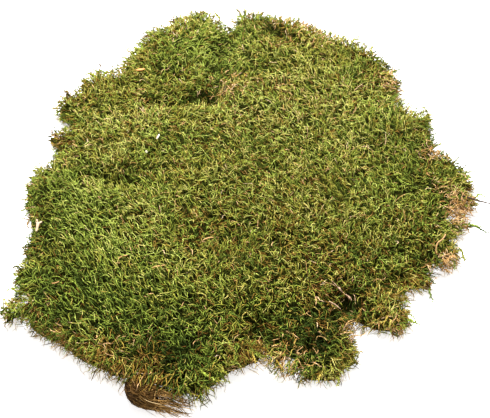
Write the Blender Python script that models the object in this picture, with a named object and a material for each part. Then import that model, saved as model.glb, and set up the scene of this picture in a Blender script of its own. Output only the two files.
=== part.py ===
"""A moss clump: a torn sheet of feather moss that lies on its cut underside, with the litter caught in it.

Metres, +Z up. The front of the sheet, where the root wad peeps out, faces -Y. The origin lies on the
underside, below the middle of the whole clump.
"""

import math

import bpy
import numpy as np
from mathutils import Vector
from mathutils.geometry import delaunay_2d_cdt

# ---------------------------------------------------------------------------------------------
# Driving dimensions. All lengths are in millimetres and all places are (x, y) seen from above;
# MM turns them into Blender's metres when a mesh is made.
# ---------------------------------------------------------------------------------------------

MM = 0.001
SEED = 7
GAP = 0.3                       # air between two pieces that touch

# The torn outline, clockwise from the notch at the back.
RIM = (
    # right back lobe
    ((-18, 204), (-9, 220), (2, 221), (18, 219), (33, 215), (49, 208), (59, 204), (73, 201),
     (79, 190), (94, 188), (108, 179), (120, 168), (131, 156), (142, 146), (142, 132), (145, 120)),
    # ragged right side, down to the dead patch
    ((138, 109), (146, 95), (156, 86), (170, 85), (170, 66), (171, 52), (168, 40), (171, 36),
     (182, 34), (189, 20), (197, 9), (199, -2), (193, -11), (198, -21), (194, -30), (183, -41),
     (188, -46), (182, -54), (174, -60), (173, -70), (178, -75), (176, -84), (167, -93)),
    # front right corner and the small lobe in front of it
    ((156, -91), (151, -97), (149, -114), (139, -113), (128, -118), (122, -121), (127, -131),
     (128, -148), (120, -157), (111, -155), (100, -151), (91, -146), (87, -141)),
    # front lobe
    ((84, -142), (84, -147), (78, -151), (78, -155), (84, -161), (85, -182), (78, -187),
     (72, -197), (63, -200), (51, -200), (39, -197), (30, -192), (19, -190), (13, -174)),
    # thick front rim, over the root wad
    ((8, -183), (-2, -187), (-11, -191), (-25, -204), (-42, -213), (-56, -212), (-66, -205),
     (-84, -199), (-99, -198), (-115, -190), (-133, -179), (-157, -164), (-174, -152)),
    # lacy flaps on the left
    ((-178, -145), (-192, -145), (-196, -136), (-186, -121), (-188, -114), (-193, -106),
     (-192, -93), (-183, -84), (-187, -74)),
    # left side
    ((-186, -63), (-187, -48), (-188, -36), (-194, -22), (-194, 4), (-188, 15), (-178, 22),
     (-174, 29), (-174, 44), (-182, 60), (-172, 62), (-163, 70), (-165, 76), (-175, 82), (-176, 96)),
    # ragged left back side and the left back lobe
    ((-169, 110), (-158, 118), (-157, 130), (-147, 132), (-144, 143), (-132, 141), (-124, 138),
     (-120, 152), (-112, 168), (-102, 184), (-96, 195), (-81, 199), (-73, 210), (-54, 222), (-42, 224),
     (-35, 214), (-29, 207)),
)
RIM_STEP = 7                    # length of one torn step of the outline
RIM_JITTER = 1.3                # how far a step tears in or out
RIM_FRINGE = 1.5                # the shoots' tips reach this far past the outline

# Thickness of the sheet: at the rim, by compass angle from +X in degrees, and in the middle.
RIM_HEIGHTS = ((0, 14), (40, 16), (70, 19), (105, 20), (140, 16), (180, 13), (205, 11),
               (225, 19), (245, 23), (262, 22), (285, 17), (310, 15), (335, 13))
CROWN_HEIGHT = 33
SHOULDER = 24                   # the height closes in on the crown's over this distance
# The side is drawn as rings: share of the rim's height, inset from the outline, jitter.
SIDE_RINGS = ((0.0, 4.5, 0.6), (0.38, 0.0, 1.4), (0.76, 1.6, 1.4))
TOP_INSET = 4.5
TOP_JITTER = (-2.0, 1.5)
WIDEST_INSET = 0.28             # of the sheet's own width there, so that thin flaps keep a top

# Broad swellings and dips: place, radius, rise.
MOUNDS = ((-60, 5, 85, 4), (-70, 168, 42, 3), (28, 165, 46, 4), (22, 88, 55, 4), (128, 5, 60, -6),
          (-112, -128, 46, 4), (52, -168, 30, -3), (-20, -72, 36, -3), (-148, 95, 32, -4),
          (105, 110, 50, -3), (112, -95, 34, -3), (-160, -60, 34, 2), (-5, -120, 34, 3))
# Creases and grooves: width, depth, course.
CREASES = (
    (9, 10, ((-18, 204), (-18, 183), (-25, 134), (-30, 87))),
    (8, 7, ((-30, 87), (-48, 80), (-89, 82))),
    (8, 8, ((-145, -3), (-123, -11), (-97, -19))),
    (7, 9, ((87, -143), (83, -135), (77, -127))),
    (8, 8, ((31, 176), (37, 170), (45, 165))),
    (8, 7, ((11, -174), (5, -158), (-2, -150))),
    (7, 5, ((-110, 112), (-84, 120), (-60, 112))),
    (7, 5, ((120, 40), (104, 18), (98, -8))),
)

# Tufts: the sheet's top is a honeycomb of points, every third of them the tip of a tuft.
TUFT_PITCH = 6.9
TUFT_RISE = (1.0, 4.0)
TUFT_LEAN = 2.1
PIT_DEPTH = (1.0, 3.4)
EDGE_KEEP = 4.6                 # the honeycomb keeps this far inside the top ring
FLOOR_PITCH = 24                # the flat underside needs few points
FLOOR_KEEP = 8

# Litter lies in a bed between the tuft tips.
SINK = 1.2                      # its underside, below the mean height of the tips
BED_MARGIN = 1.1                # the bed is this much wider and longer than the piece
BED_KEEP = 3.4                  # and tuft tips keep this far from it
STEM_STEPS = 2                  # a stem's course is rounded with this many steps between its places
# Stems and needles: radii along them, and the places they pass over.
STEMS = {
    "jointed_stem": ((0.4, 0.4, 0.42, 0.5, 1.0, 0.5, 0.45, 0.5, 0.7, 1.05, 0.5),
                     ((67.4, -119.2), (70.6, -121.2), (73.8, -123.2), (77.9, -125.4), (80.8, -127.1), (83.5, -129.8))),
    "stem_sliver": ((0.45, 0.65, 0.35), ((64.4, -137.6), (69.2, -139.5), (73.6, -142))),
    "needle_a": ((0.4, 0.7, 0.7, 0.5), ((-37, -83), (-34, -81), (-30.5, -79.5), (-27.5, -79))),
    "needle_b": ((0.5, 0.75, 0.6, 0.5), ((-75.5, -112.5), (-72, -111), (-69, -110.5), (-65.5, -109))),
    "needle_c": ((0.4, 0.6, 0.5), ((-103, -103.8), (-100.3, -101.6), (-96.5, -100.6))),
    "needle_d": ((0.4, 0.6, 0.5), ((-155, -124.2), (-152.3, -124.8), (-149, -123.6))),
}
ROOTLET = ((0.7, 0.7, 0.75, 0.6, 0.5, 0.4),
           ((165.5, -65.5), (162, -71.5), (158, -75), (156.3, -79), (156, -82), (156.5, -85)))
ROOTLET_FORK = ((0.5, 0.45, 0.35), ((156.3, -79), (154, -77.8), (151.5, -76.5)))
TWIG = ((0.8, 0.8, 0.7, 0.65, 0.5),
        ((186, -22), (191.5, -24), (197, -27), (203, -29.7), (208.8, -32.3)))
TWIG_DEPTH = 2.0                # it pokes out of the rim this far below the tips
TWIG_LIFT = 2.0                 # its free end points up by this much
# Chips and flakes: material, thickness, place, turn in degrees, half width of the bed, and the
# outline round the place.
CHIPS = {
    "bark_chip": ("bark", 1.6, (-175, -59), 90, 2.4,
                  ((-6.6, -0.3), (-4.5, -1.3), (-2.5, -0.7), (0, -1.4), (2, -1.2), (3.4, -3.3), (4.8, -3.3),
                   (4.6, -2.2), (3.1, -0.3), (6.6, 0.7), (7, 2), (4.5, 2.4), (1.5, 1.2), (-1.5, 0.9),
                   (-4, 1.2), (-6.4, 0.9))),
    "leaf_flake": ("leaf", 0.9, (-100.2, 125.4), 0, 1.9,
                   ((-4.4, 0.2), (-2.4, -1.1), (0.8, -1.4), (3.4, -1), (4.6, 0.2), (2.6, 1.1), (-0.8, 1.3),
                    (-3, 0.9))),
    "husk_a": ("husk", 0.9, (-78.1, 30.9), 71, 1.6,
               ((-3.7, 0.2), (-1.5, -0.6), (1.5, -0.6), (3.6, 0.2), (1.5, 0.6), (-1.5, 0.6))),
    "husk_b": ("husk", 0.9, (-87.3, 12.8), 110, 1.6,
               ((-1.7, 0), (-0.6, -1), (1, -0.8), (1.7, 0.3), (0.5, 1), (-1, 0.8))),
}
CHIP_CROWN = (1.15, 0.35)       # its thickness in the middle, and how much of it is lost at the ends

# The root wad: a curled lock that lies on the floor, tucked under the front rim.
WAD_PATH = ((-85, -196, 7), (-85.5, -204.5, 9), (-81, -211, 10.2), (-73.5, -214, 10), (-65.5, -215, 8.6),
            (-58, -216.5, 6.4), (-51, -219.5, 4.4), (-44.5, -224, 2.8))
WAD_RADII = (4.8, 8.2, 9.9, 9.9, 8.6, 6.3, 4.1, 2.0)
WAD_SIDES = 12
WAD_LOCKS = 5                   # ridges of roots round it
WAD_LOCK_DEPTH = 0.09
WAD_TWIST = 0.35                # turn of the ridges from ring to ring, in radians
WAD_GAP = 0.7                   # the moss hugs the wad this loosely

MATERIALS = {
    "moss": ((0.20, 0.25, 0.045), 0.75),
    "thatch": ((0.13, 0.075, 0.035), 0.85),
    "bark": ((0.62, 0.47, 0.33), 0.8),
    "twig": ((0.03, 0.018, 0.012), 0.7),
    "straw": ((0.55, 0.33, 0.14), 0.6),
    "leaf": ((0.56, 0.27, 0.09), 0.65),
    "husk": ((0.78, 0.74, 0.66), 0.6),
}


# ---------------------------------------------------------------------------------------------
# Plane geometry on arrays of (x, y)
# ---------------------------------------------------------------------------------------------

def distance_to_path(points, path):
    """Distance of each point to a path of straight stretches."""
    start = path[:-1]
    along = path[1:] - start
    offset = points[:, None] - start
    share = np.clip((offset * along).sum(axis=2) / (along ** 2).sum(axis=1), 0, 1)
    return np.linalg.norm(offset - share[..., None] * along, axis=2).min(axis=1)


def closed(loop):
    """The loop with its first point repeated at the end."""
    return np.vstack([loop, loop[:1]])


def is_inside(points, loop):
    """Which points lie inside a closed loop, by counting the edges to the right of each."""
    ahead = np.roll(loop, -1, axis=0)
    rise = ahead[:, 1] - loop[:, 1]
    rise[rise == 0] = 1e-9
    x = points[:, :1]
    y = points[:, 1:]
    crosses = (loop[:, 1] > y) != (ahead[:, 1] > y)
    edge_x = loop[:, 0] + (y - loop[:, 1]) * (ahead[:, 0] - loop[:, 0]) / rise
    return (crosses & (x < edge_x)).sum(axis=1) % 2 == 1


def inward_directions(loop):
    """For each point of a clockwise loop, the way into it, smoothed over two neighbours each side."""
    tangent = np.roll(loop, -2, axis=0) - np.roll(loop, 2, axis=0)
    inward = np.column_stack([tangent[:, 1], -tangent[:, 0]])
    return inward / np.linalg.norm(inward, axis=1)[:, None]


def width_across(loop, inward):
    """How far it is from each point, along its inward direction, to the other side of the loop."""
    start = loop
    edge = np.roll(loop, -1, axis=0) - start
    offset = start[None] - loop[:, None]
    turn = inward[:, None, 0] * edge[:, 1] - inward[:, None, 1] * edge[:, 0]
    turn[np.abs(turn) < 1e-9] = 1e-9
    reach = (offset[..., 0] * edge[:, 1] - offset[..., 1] * edge[:, 0]) / turn
    share = (offset[..., 0] * inward[:, None, 1] - offset[..., 1] * inward[:, None, 0]) / turn
    reach[(share < 0) | (share > 1) | (reach < 2)] = np.inf
    return reach.min(axis=1)


def smooth_path(points, steps=3):
    """A path through the same points with rounded corners (a Catmull-Rom curve)."""
    points = np.asarray(points, float)
    padded = np.vstack([2 * points[0] - points[1], points, 2 * points[-1] - points[-2]])
    curve = []
    for before, here, there, after in zip(padded, padded[1:], padded[2:], padded[3:]):
        for t in np.arange(steps) / steps:
            curve.append(0.5 * (2 * here + (there - before) * t
                                + (2 * before - 5 * here + 4 * there - after) * t ** 2
                                + (3 * here - before - 3 * there + after) * t ** 3))
    return np.array(curve + [points[-1]])


# ---------------------------------------------------------------------------------------------
# The sheet's outline and height
# ---------------------------------------------------------------------------------------------

def torn_outline(random):
    """The rim cut into short steps, each torn a little in or out."""
    corners = closed(np.array([point for stretch in RIM for point in stretch], float))
    outline = []
    for start, end in zip(corners, corners[1:]):
        count = max(1, round(np.linalg.norm(end - start) / RIM_STEP))
        for step in range(count):
            outline.append(start + (end - start) * step / count)
    outline = np.array(outline)
    tear = random.uniform(-RIM_JITTER, RIM_JITTER, len(outline)) - RIM_FRINGE
    return outline + inward_directions(outline) * tear[:, None]


def rim_height(points):
    """Height of the rim in the compass direction of each point."""
    angles, heights = zip(*RIM_HEIGHTS)
    compass = np.degrees(np.arctan2(points[:, 1], points[:, 0])) % 360
    return np.interp(compass, angles, heights, period=360)


def sheet_height(points, outline):
    """Mean height of the shoots' tips at each point."""
    rim = rim_height(points)
    from_rim = distance_to_path(points, closed(outline))
    height = rim + (CROWN_HEIGHT - rim) * (1 - np.exp(-from_rim / SHOULDER))
    for x, y, radius, rise in MOUNDS:
        height += rise * np.exp(-((points[:, 0] - x) ** 2 + (points[:, 1] - y) ** 2) / radius ** 2)
    for width, depth, course in CREASES:
        height -= depth * np.exp(-(distance_to_path(points, np.array(course, float)) / width) ** 2)
    return height


def honeycomb(outline, pitch, keep):
    """Points of a honeycomb inside the outline, and for each whether it is every third one."""
    reach = np.abs(outline).max() + pitch
    rows = np.arange(-int(reach / pitch * 1.2), int(reach / pitch * 1.2) + 1)
    columns = np.arange(-int(reach / pitch * 1.8), int(reach / pitch * 1.8) + 1)
    row, column = (grid.ravel() for grid in np.meshgrid(rows, columns))
    points = np.column_stack([(column + row / 2) * pitch, row * pitch * math.sqrt(0.75)])
    inside = is_inside(points, outline) & (distance_to_path(points, closed(outline)) > keep)
    return points[inside], ((column - row) % 3 == 0)[inside]


# ---------------------------------------------------------------------------------------------
# Litter: each piece knows its course over the sheet, its underside's height and its bed's width
# ---------------------------------------------------------------------------------------------

class Litter:
    """A piece that lies on the sheet, and the bed that the sheet has for it."""

    def __init__(self, course, bed_half_width, outline, lift=0.0, parent=None, depth=0.0):
        self.course = course
        self.bed_half_width = bed_half_width
        self.parent = parent
        resting = sheet_height(course, outline) - SINK - depth
        if parent:
            resting[0] = parent.height_beside(course[0])
        along = np.linspace(0, 1, len(course))
        if lift:
            self.underside = resting[0] + lift * along ** 2
        else:
            straight = resting[0] + (resting[-1] - resting[0]) * along
            self.underside = (resting + straight) / 2

    def height_beside(self, spot):
        """Height of this piece's underside where its course passes nearest to a spot."""
        return self.underside[np.linalg.norm(self.course - spot, axis=1).argmin()]

    def bed(self, top_ring):
        """Two rows of points, one on each side of the course, as (x, y, z)."""
        ahead = np.gradient(self.course, axis=0)
        ahead /= np.linalg.norm(ahead, axis=1)[:, None]
        course = self.course.copy()
        course[0] -= ahead[0] * BED_MARGIN
        course[-1] += ahead[-1] * BED_MARGIN
        across = np.column_stack([-ahead[:, 1], ahead[:, 0]]) * (self.bed_half_width + BED_MARGIN)
        rows = []
        for side in (-1, 1):
            flat = course + side * across
            row = np.column_stack([flat, self.underside - GAP])
            free = is_inside(flat, top_ring) & (distance_to_path(flat, closed(top_ring)) > BED_MARGIN)
            if self.parent:
                reach = self.parent.bed_half_width + 2 * BED_MARGIN
                free &= distance_to_path(flat, self.parent.course) > reach
            rows.append(row[free])
        return rows


def stem_litter(radii, places, outline, lift=0.0, parent=None, depth=0.0):
    """A stem's litter record, and the radius at each point of its course."""
    course = smooth_path(places, STEM_STEPS)
    thick = np.interp(np.linspace(0, 1, len(course)), np.linspace(0, 1, len(radii)), radii)
    return Litter(course, max(radii), outline, lift, parent, depth), thick


def chip_litter(place, turn, bed_half_width, outline_of_chip, outline):
    """A chip's litter record: a straight course from end to end of it."""
    reach = max(abs(x) for x, _ in outline_of_chip)
    heading = np.array([math.cos(math.radians(turn)), math.sin(math.radians(turn))])
    course = np.array(place, float) + np.linspace(-reach, reach, 4)[:, None] * heading
    return Litter(course, bed_half_width, outline)


# ---------------------------------------------------------------------------------------------
# Meshes
# ---------------------------------------------------------------------------------------------

def clear_scene():
    for old in list(bpy.data.objects):
        bpy.data.objects.remove(old, do_unlink=True)


def material(name):
    colour, roughness = MATERIALS[name]
    made = bpy.data.materials.get(name)
    if made is None:
        made = bpy.data.materials.new(name)
        made.use_nodes = True
        shader = made.node_tree.nodes["Principled BSDF"]
        shader.inputs["Base Color"].default_value = (*colour, 1.0)
        shader.inputs["Roughness"].default_value = roughness
    return made


def make_object(name, points, faces, material_name, sharp_angle=50):
    """A mesh object from points in millimetres, shaded smooth but for sharp corners."""
    mesh = bpy.data.meshes.new(name)
    mesh.from_pydata([Vector(point) * MM for point in points], [], faces)
    mesh.shade_smooth()
    mesh.set_sharp_from_angle(angle=math.radians(sharp_angle))
    mesh.materials.append(material(material_name))
    made = bpy.data.objects.new(name, mesh)
    bpy.context.scene.collection.objects.link(made)
    return made


def as_cutter(helper):
    """Hides a helper shape that only a Boolean modifier uses."""
    helper.hide_render = True
    helper.display_type = "WIRE"
    return helper


def add_boolean(target, helper, operation):
    change = target.modifiers.new(operation.lower(), "BOOLEAN")
    change.operation = operation
    change.object = as_cutter(helper)


def tube_mesh(centres, radii, sides, ridge=None):
    """Points and faces of a round bar through the centres; ridge(ring, side) scales the radius."""
    centres = [Vector(centre) for centre in centres]
    points = []
    last = len(centres) - 1
    for ring, (centre, radius) in enumerate(zip(centres, radii)):
        ahead = centres[min(ring + 1, last)] - centres[max(ring - 1, 0)]
        across = ahead.cross(Vector((0, 0, 1))).normalized()
        up = across.cross(ahead).normalized()
        for side in range(sides):
            angle = 2 * math.pi * side / sides
            reach = float(radius * (ridge(ring, angle) if ridge else 1.0))
            points.append(centre + reach * (math.cos(angle) * across + math.sin(angle) * up))
    faces = []
    for ring in range(last):
        for side in range(sides):
            beside = (side + 1) % sides
            low = ring * sides
            high = low + sides
            faces.append((low + side, high + side, high + beside, low + beside))
    faces.append(tuple(range(sides)))
    faces.append(tuple(last * sides + side for side in reversed(range(sides))))
    return points, faces


def stem_object(name, litter, radii, material_name, sides=6):
    """A thin stem that lies along its litter record's course."""
    centres = np.column_stack([litter.course, litter.underside + radii])
    points, faces = tube_mesh(centres, radii, sides)
    return make_object(name, points, faces, material_name)


def chip_object(name, litter, thickness, turn, place, outline_of_chip, material_name):
    """A flat chip of the given outline, tilted with the sheet under it and slightly crowned."""
    heading = Vector((math.cos(math.radians(turn)), math.sin(math.radians(turn)), 0))
    across = Vector((-heading.y, heading.x, 0))
    reach = max(abs(x) for x, _ in outline_of_chip)
    count = len(outline_of_chip)
    middle, loss = CHIP_CROWN
    bottom = []
    top = []
    for along, aside in outline_of_chip:
        share = (along / reach + 1) / 2
        height = np.interp(share, np.linspace(0, 1, len(litter.underside)), litter.underside)
        spot = Vector((*place, height)) + heading * along + across * aside
        bottom.append(spot)
        top.append(spot + Vector((0, 0, thickness * (middle - loss * abs(along) / reach))))
    faces = [tuple(reversed(range(count))), tuple(range(count, 2 * count))]
    for corner in range(count):
        beside = (corner + 1) % count
        faces.append((corner, beside, count + beside, count + corner))
    return make_object(name, bottom + top, faces, material_name, sharp_angle=30)


def wad_object(name, swell=0.0):
    """The root wad, or with swell the same shape grown by that much all over."""
    centres = smooth_path(WAD_PATH, 2)
    radii = np.interp(np.linspace(0, 1, len(centres)), np.linspace(0, 1, len(WAD_RADII)), WAD_RADII)
    radii = radii + swell

    def ridge(ring, angle):
        return 1 + WAD_LOCK_DEPTH * math.cos(WAD_LOCKS * (angle + WAD_TWIST * ring / 2))

    points, faces = tube_mesh(centres, radii, WAD_SIDES, ridge)
    floor = -swell
    for point in points:
        point.z = max(point.z, floor)
    return make_object(name, points, faces, "thatch")


def triangulate(ring, inner, seams=()):
    """Triangles over a closed ring of points with further points inside it, seen from above."""
    flat = [Vector(point) for point in np.vstack([ring, inner]).tolist()]
    border = [(index, (index + 1) % len(ring)) for index in range(len(ring))]
    result = delaunay_2d_cdt(flat, border + list(seams), [], 1, 1e-6)
    origin = [sources[0] for sources in result[3]]
    triangles = []
    for face in result[2]:
        a, b, c = (origin[corner] for corner in face)
        turn = (flat[b] - flat[a]).cross(flat[c] - flat[a])
        triangles.append((a, b, c) if turn > 0 else (a, c, b))
    return triangles


def tufted_points(outline, top_ring, beds, random):
    """The honeycomb of tuft tips and pits, as (x, y, z), with the litter's beds left free."""
    spots, is_tip = honeycomb(top_ring, TUFT_PITCH, EDGE_KEEP)
    free = np.ones(len(spots), bool)
    for litter in beds:
        free &= distance_to_path(spots, litter.course) > litter.bed_half_width + BED_KEEP
    spots = spots[free]
    is_tip = is_tip[free]
    count = len(spots)
    heading = random.uniform(0, 2 * math.pi, count)
    lean = random.uniform(0.2, 1.0, count) * TUFT_LEAN
    rise = np.where(is_tip, random.uniform(*TUFT_RISE, count), -random.uniform(*PIT_DEPTH, count))
    height = sheet_height(spots, outline) + rise
    moved = spots + lean[:, None] * np.column_stack([np.cos(heading), np.sin(heading)])
    return np.column_stack([moved, height])


def mat_object(outline, beds, random):
    """The grown sheet: flat underside, ragged side rings and a tufted top, as one closed mesh."""
    inward = inward_directions(outline)
    room = width_across(outline, inward) * WIDEST_INSET
    rim = rim_height(outline)
    rings = []
    for share, inset, jitter in SIDE_RINGS:
        shift = np.minimum(inset, room) + random.uniform(-jitter, jitter, len(outline))
        height = share * rim
        if share > 0:
            height = height + random.uniform(-jitter, jitter, len(outline))
        rings.append(np.column_stack([outline + inward * shift[:, None], height]))
    top_flat = outline + inward * np.minimum(TOP_INSET, room)[:, None]
    top_height = sheet_height(top_flat, outline) + random.uniform(*TOP_JITTER, len(outline))
    rings.append(np.column_stack([top_flat, top_height]))

    tufts = tufted_points(outline, top_flat, beds, random)
    rows = [row for litter in beds for row in litter.bed(top_flat)]
    inner = np.vstack([tufts, *rows])
    ring_count = len(outline)
    seams = []
    first = ring_count + len(tufts)
    for row in rows:
        seams += [(first + index, first + index + 1) for index in range(len(row) - 1)]
        first += len(row)
    below, _ = honeycomb(rings[0][:, :2], FLOOR_PITCH, FLOOR_KEEP)

    top_faces = triangulate(top_flat, inner[:, :2], seams)
    floor_faces = triangulate(rings[0][:, :2], below)
    points = np.vstack([*rings, inner, np.column_stack([below, np.zeros(len(below))])])
    top_start = ring_count * (len(rings) - 1)
    below_start = ring_count * len(rings) + len(inner)

    faces = [tuple(corner + top_start for corner in face) for face in top_faces]
    for a, b, c in floor_faces:
        corners = (corner if corner < ring_count else corner - ring_count + below_start
                   for corner in (a, c, b))
        faces.append(tuple(corners))
    for low in range(len(rings) - 1):
        for index in range(ring_count):
            a = low * ring_count + index
            b = low * ring_count + (index + 1) % ring_count
            c = b + ring_count
            d = a + ring_count
            faces += [(a, d, b), (b, d, c)] if (index + low) % 2 else [(a, d, c), (a, c, b)]
    return make_object("moss_mat", points, faces, "moss", sharp_angle=70)


def centre_on_origin(objects):
    """Moves every mesh sideways together, so that the clump's box is centred on the origin."""
    corners = np.array([vertex.co for piece in objects for vertex in piece.data.vertices])
    middle = (corners.min(axis=0) + corners.max(axis=0)) / 2
    shift = Vector((-middle[0], -middle[1], 0))
    for piece in list(bpy.data.objects):
        for vertex in piece.data.vertices:
            vertex.co += shift


def main():
    clear_scene()
    random = np.random.default_rng(SEED)
    outline = torn_outline(random)
    pieces = []
    beds = []

    for name, (radii, places) in STEMS.items():
        litter, thick = stem_litter(radii, places, outline)
        beds.append(litter)
        pieces.append(stem_object(name, litter, thick, "straw"))

    litter, thick = stem_litter(*ROOTLET, outline)
    beds.append(litter)
    rootlet = stem_object("rootlet", litter, thick, "straw")
    fork, fork_thick = stem_litter(*ROOTLET_FORK, outline, parent=litter)
    beds.append(fork)
    add_boolean(rootlet, stem_object("rootlet_fork", fork, fork_thick, "straw"), "UNION")
    pieces.append(rootlet)

    litter, thick = stem_litter(*TWIG, outline, lift=TWIG_LIFT, depth=TWIG_DEPTH)
    beds.append(litter)
    pieces.append(stem_object("twig", litter, thick, "twig"))

    for name, (finish, thickness, place, turn, half_width, shape) in CHIPS.items():
        litter = chip_litter(place, turn, half_width, shape, outline)
        beds.append(litter)
        pieces.append(chip_object(name, litter, thickness, turn, place, shape, finish))

    mat = mat_object(outline, beds, random)
    pieces.append(mat)
    pieces.append(wad_object("root_wad"))
    add_boolean(mat, wad_object("wad_room", WAD_GAP), "DIFFERENCE")
    centre_on_origin(pieces)


main()
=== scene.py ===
import math

import bpy
import numpy as np
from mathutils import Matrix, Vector
from mathutils.bvhtree import BVHTree
from mathutils.kdtree import KDTree


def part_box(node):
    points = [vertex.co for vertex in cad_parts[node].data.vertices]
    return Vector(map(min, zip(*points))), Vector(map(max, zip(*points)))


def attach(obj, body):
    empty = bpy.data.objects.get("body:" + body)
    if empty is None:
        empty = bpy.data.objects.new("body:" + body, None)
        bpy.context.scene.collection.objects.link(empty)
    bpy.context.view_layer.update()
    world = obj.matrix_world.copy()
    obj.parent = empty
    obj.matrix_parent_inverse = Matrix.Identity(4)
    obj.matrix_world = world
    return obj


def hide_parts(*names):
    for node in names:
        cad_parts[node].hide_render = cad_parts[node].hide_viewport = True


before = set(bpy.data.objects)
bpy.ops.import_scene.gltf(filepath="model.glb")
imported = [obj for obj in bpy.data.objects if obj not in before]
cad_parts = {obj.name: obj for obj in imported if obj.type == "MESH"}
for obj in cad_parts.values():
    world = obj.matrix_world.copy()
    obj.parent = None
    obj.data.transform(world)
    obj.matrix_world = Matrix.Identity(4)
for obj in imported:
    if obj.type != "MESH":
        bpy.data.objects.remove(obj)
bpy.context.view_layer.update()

# The clump's looks: shoots of feather moss grown over the solid sheet, an inner mass painted
# near-black as the shade between them, brown thatch at the rim and below, the root wad and the
# litter. Lengths are in millimetres, and MM turns them into the frame's metres when a mesh is made.

MM = 0.001
SEED = 20

# The photograph's camera: it looks along +Y, down on the clump.
PHOTO_WIDTH = 490
CAMERA_ELEVATION = 50.0
CAMERA_DISTANCE = 0.95
CAMERA_FOCUS = (-0.0075, -0.0345, 0.015)
FOCAL_PIXELS = 1112
SENSOR_WIDTH = 36.0

# The white table, the white world, and the key lamp that shines from behind the clump.
FLOOR_HALF = 40.0
FLOOR_GLOW = 0.70
WORLD_STRENGTH = 0.475
KEY_PLACE = (-0.30, 0.95, 1.45)
KEY_SIZE = 0.5
KEY_POWER = 112.0

# The felt below the shoots, whose near-black colour is painted shade for the gaps between them.
FELT_DEPTH = 8.0                # below the sheet's own height
FELT_LOWEST = 1.6
FELT_ROOM = 9.0                 # beside the rim, room is looked for this far inward
FELT_INSET = 0.42               # and it is drawn in by this share of the room
THIN_INSET = 14.0               # and by this much more at the thin places

# The sheet's height is read from the solid on a grid and then smoothed.
GRID_STEP = 2.0
GRID_EDGE = 14.0                # no direction is read closer than this to the grid's edge
SMOOTH_RADIUS = 4.0
HOLLOW_RADIUS = 11.0            # a hollow is lower than its surroundings this wide
TOP_OF_SOLID = 60.0

# Shoots on top.
SHOOT_PITCH = 2.31
SHOOT_LENGTH = (6.0, 11.0)
SHOOT_RADIUS = (0.22, 0.41)
SHOOT_SWAY = 0.8
SHOOT_DEPTH = 6.5               # how far below the tips a shoot sets off
LAYER_DEPTH = 3.8               # the lowest shoots lie this far below the highest
LAYER_SHADE = 0.36              # and are painted up to this much darker as shade, as a share of the ramp
PIT_SIZE = 1.6                  # small pits are left open between them
PIT_SHARE = -0.50
SHOOT_RINGS = 4
FORK_RING = 1                   # each shoot's branch starts at this ring
BRANCH_LENGTH = (4.0, 8.0)
BRANCH_RINGS = 4
BRANCH_SPREAD = (0.4, 1.1)      # how far sideways it sets off
BRANCH_WIDTH = 0.9              # its share of the shoot's width
LONG_SHOOTS = ((-120, -110, 85, 0.35),)  # where the shoots are longer, and by what share
# Branches that are brown or pale on a green shoot, or green on a dead one: their share and tones.
BROWN_BRANCHES = 0.07
BROWN_BRANCH = (0.66, 0.84)
PALE_BRANCHES = 0.025
PALE_BRANCH = (0.84, 0.94)
GREEN_BRANCHES = 0.5
GREEN_BRANCH = (0.36, 0.50)
# Where the shoots are wider, and by what share.
WIDE_SHOOTS = (
    (-105, -145, 85, 0.2), (40, -170, 60, 0.22), (-45, -178, 35, 0.2), (120, -110, 50, 0.15),
    (165, -30, 35, 0.15), (-60, 160, 50, 0.1),
)
TIP_SHARE = 0.82                # a shoot keeps its width up to here
LEAF_SWELL = 0.17               # width gained and lost from ring to ring
# Long curly shoots lie among the others: their share, and where there are more of them.
TRAILING_SHARE = 0.26
TRAILING_PATCHES = (
    (-125, -110, 85, 0.4), (-40, -170, 45, 0.05), (60, -165, 55, 0.25), (120, -120, 45, 0.25),
    (150, -30, 50, 0.15), (70, 125, 50, 0.25),
)
TRAILING_LENGTH = (9.0, 19.0)
TRAILING_RADIUS = (0.21, 0.38)
TRAILING_RINGS = 7
TRAILING_SWELL = 0.13
TRAILING_SWAY = 1.3
OVERHANG = 2.0                  # how far over the rim a shoot reaches on average
CLUMP = 3.2                     # and how much further the ragged clumps of the rim reach
# Where the moss reaches further still: over the wad, and clumps of the back rim.
REACHES = (
    (-62, -203, 17, 9), (-40, -207, 13, 8), (-86, -198, 13, 17), (-104, -194, 10, 6),
    (-105, 160, 12, 4), (-125, 142, 12, 3.5), (-70, 212, 12, 5), (-170, 95, 14, 3),
    (-150, 132, 10, 3), (138, 138, 8, 3), (-20, 190, 10, 10), (-38, 204, 12, 6), (168, 36, 8, 2),
    (150, -100, 10, 4), (134, -118, 12, 6), (92, -152, 12, 4), (120, -150, 14, 2),
    (20, -190, 10, 5), (-196, -5, 30, -2.5), (-190, -62, 30, -3), (-180, 50, 18, -1.5),
    (-178, 28, 10, -4),
)
MOST_TUCK = 14.0                # no shoot is moved in by more than this
MOST_REACH = 18.0               # no shoot is let further over the rim
HAIR_REACH = 9.0                # and no hair further than this
# Which way the shoots are combed: place, radius, heading in degrees, strength.
FLOWS = (
    (-140, -50, 70, -50, 2.3), (-110, -140, 60, -54, 2), (-150, 40, 40, -44, 0.9),
    (65, 110, 75, -66, 1.7), (-8, 180, 28, -88, 1.6), (0, -10, 80, -56, 1.1),
    (-50, 30, 45, -48, 0.6), (120, -20, 70, -62, 0.7), (20, -130, 60, -72, 0.9),
    (-70, 150, 45, -40, 0.4),
)
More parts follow.
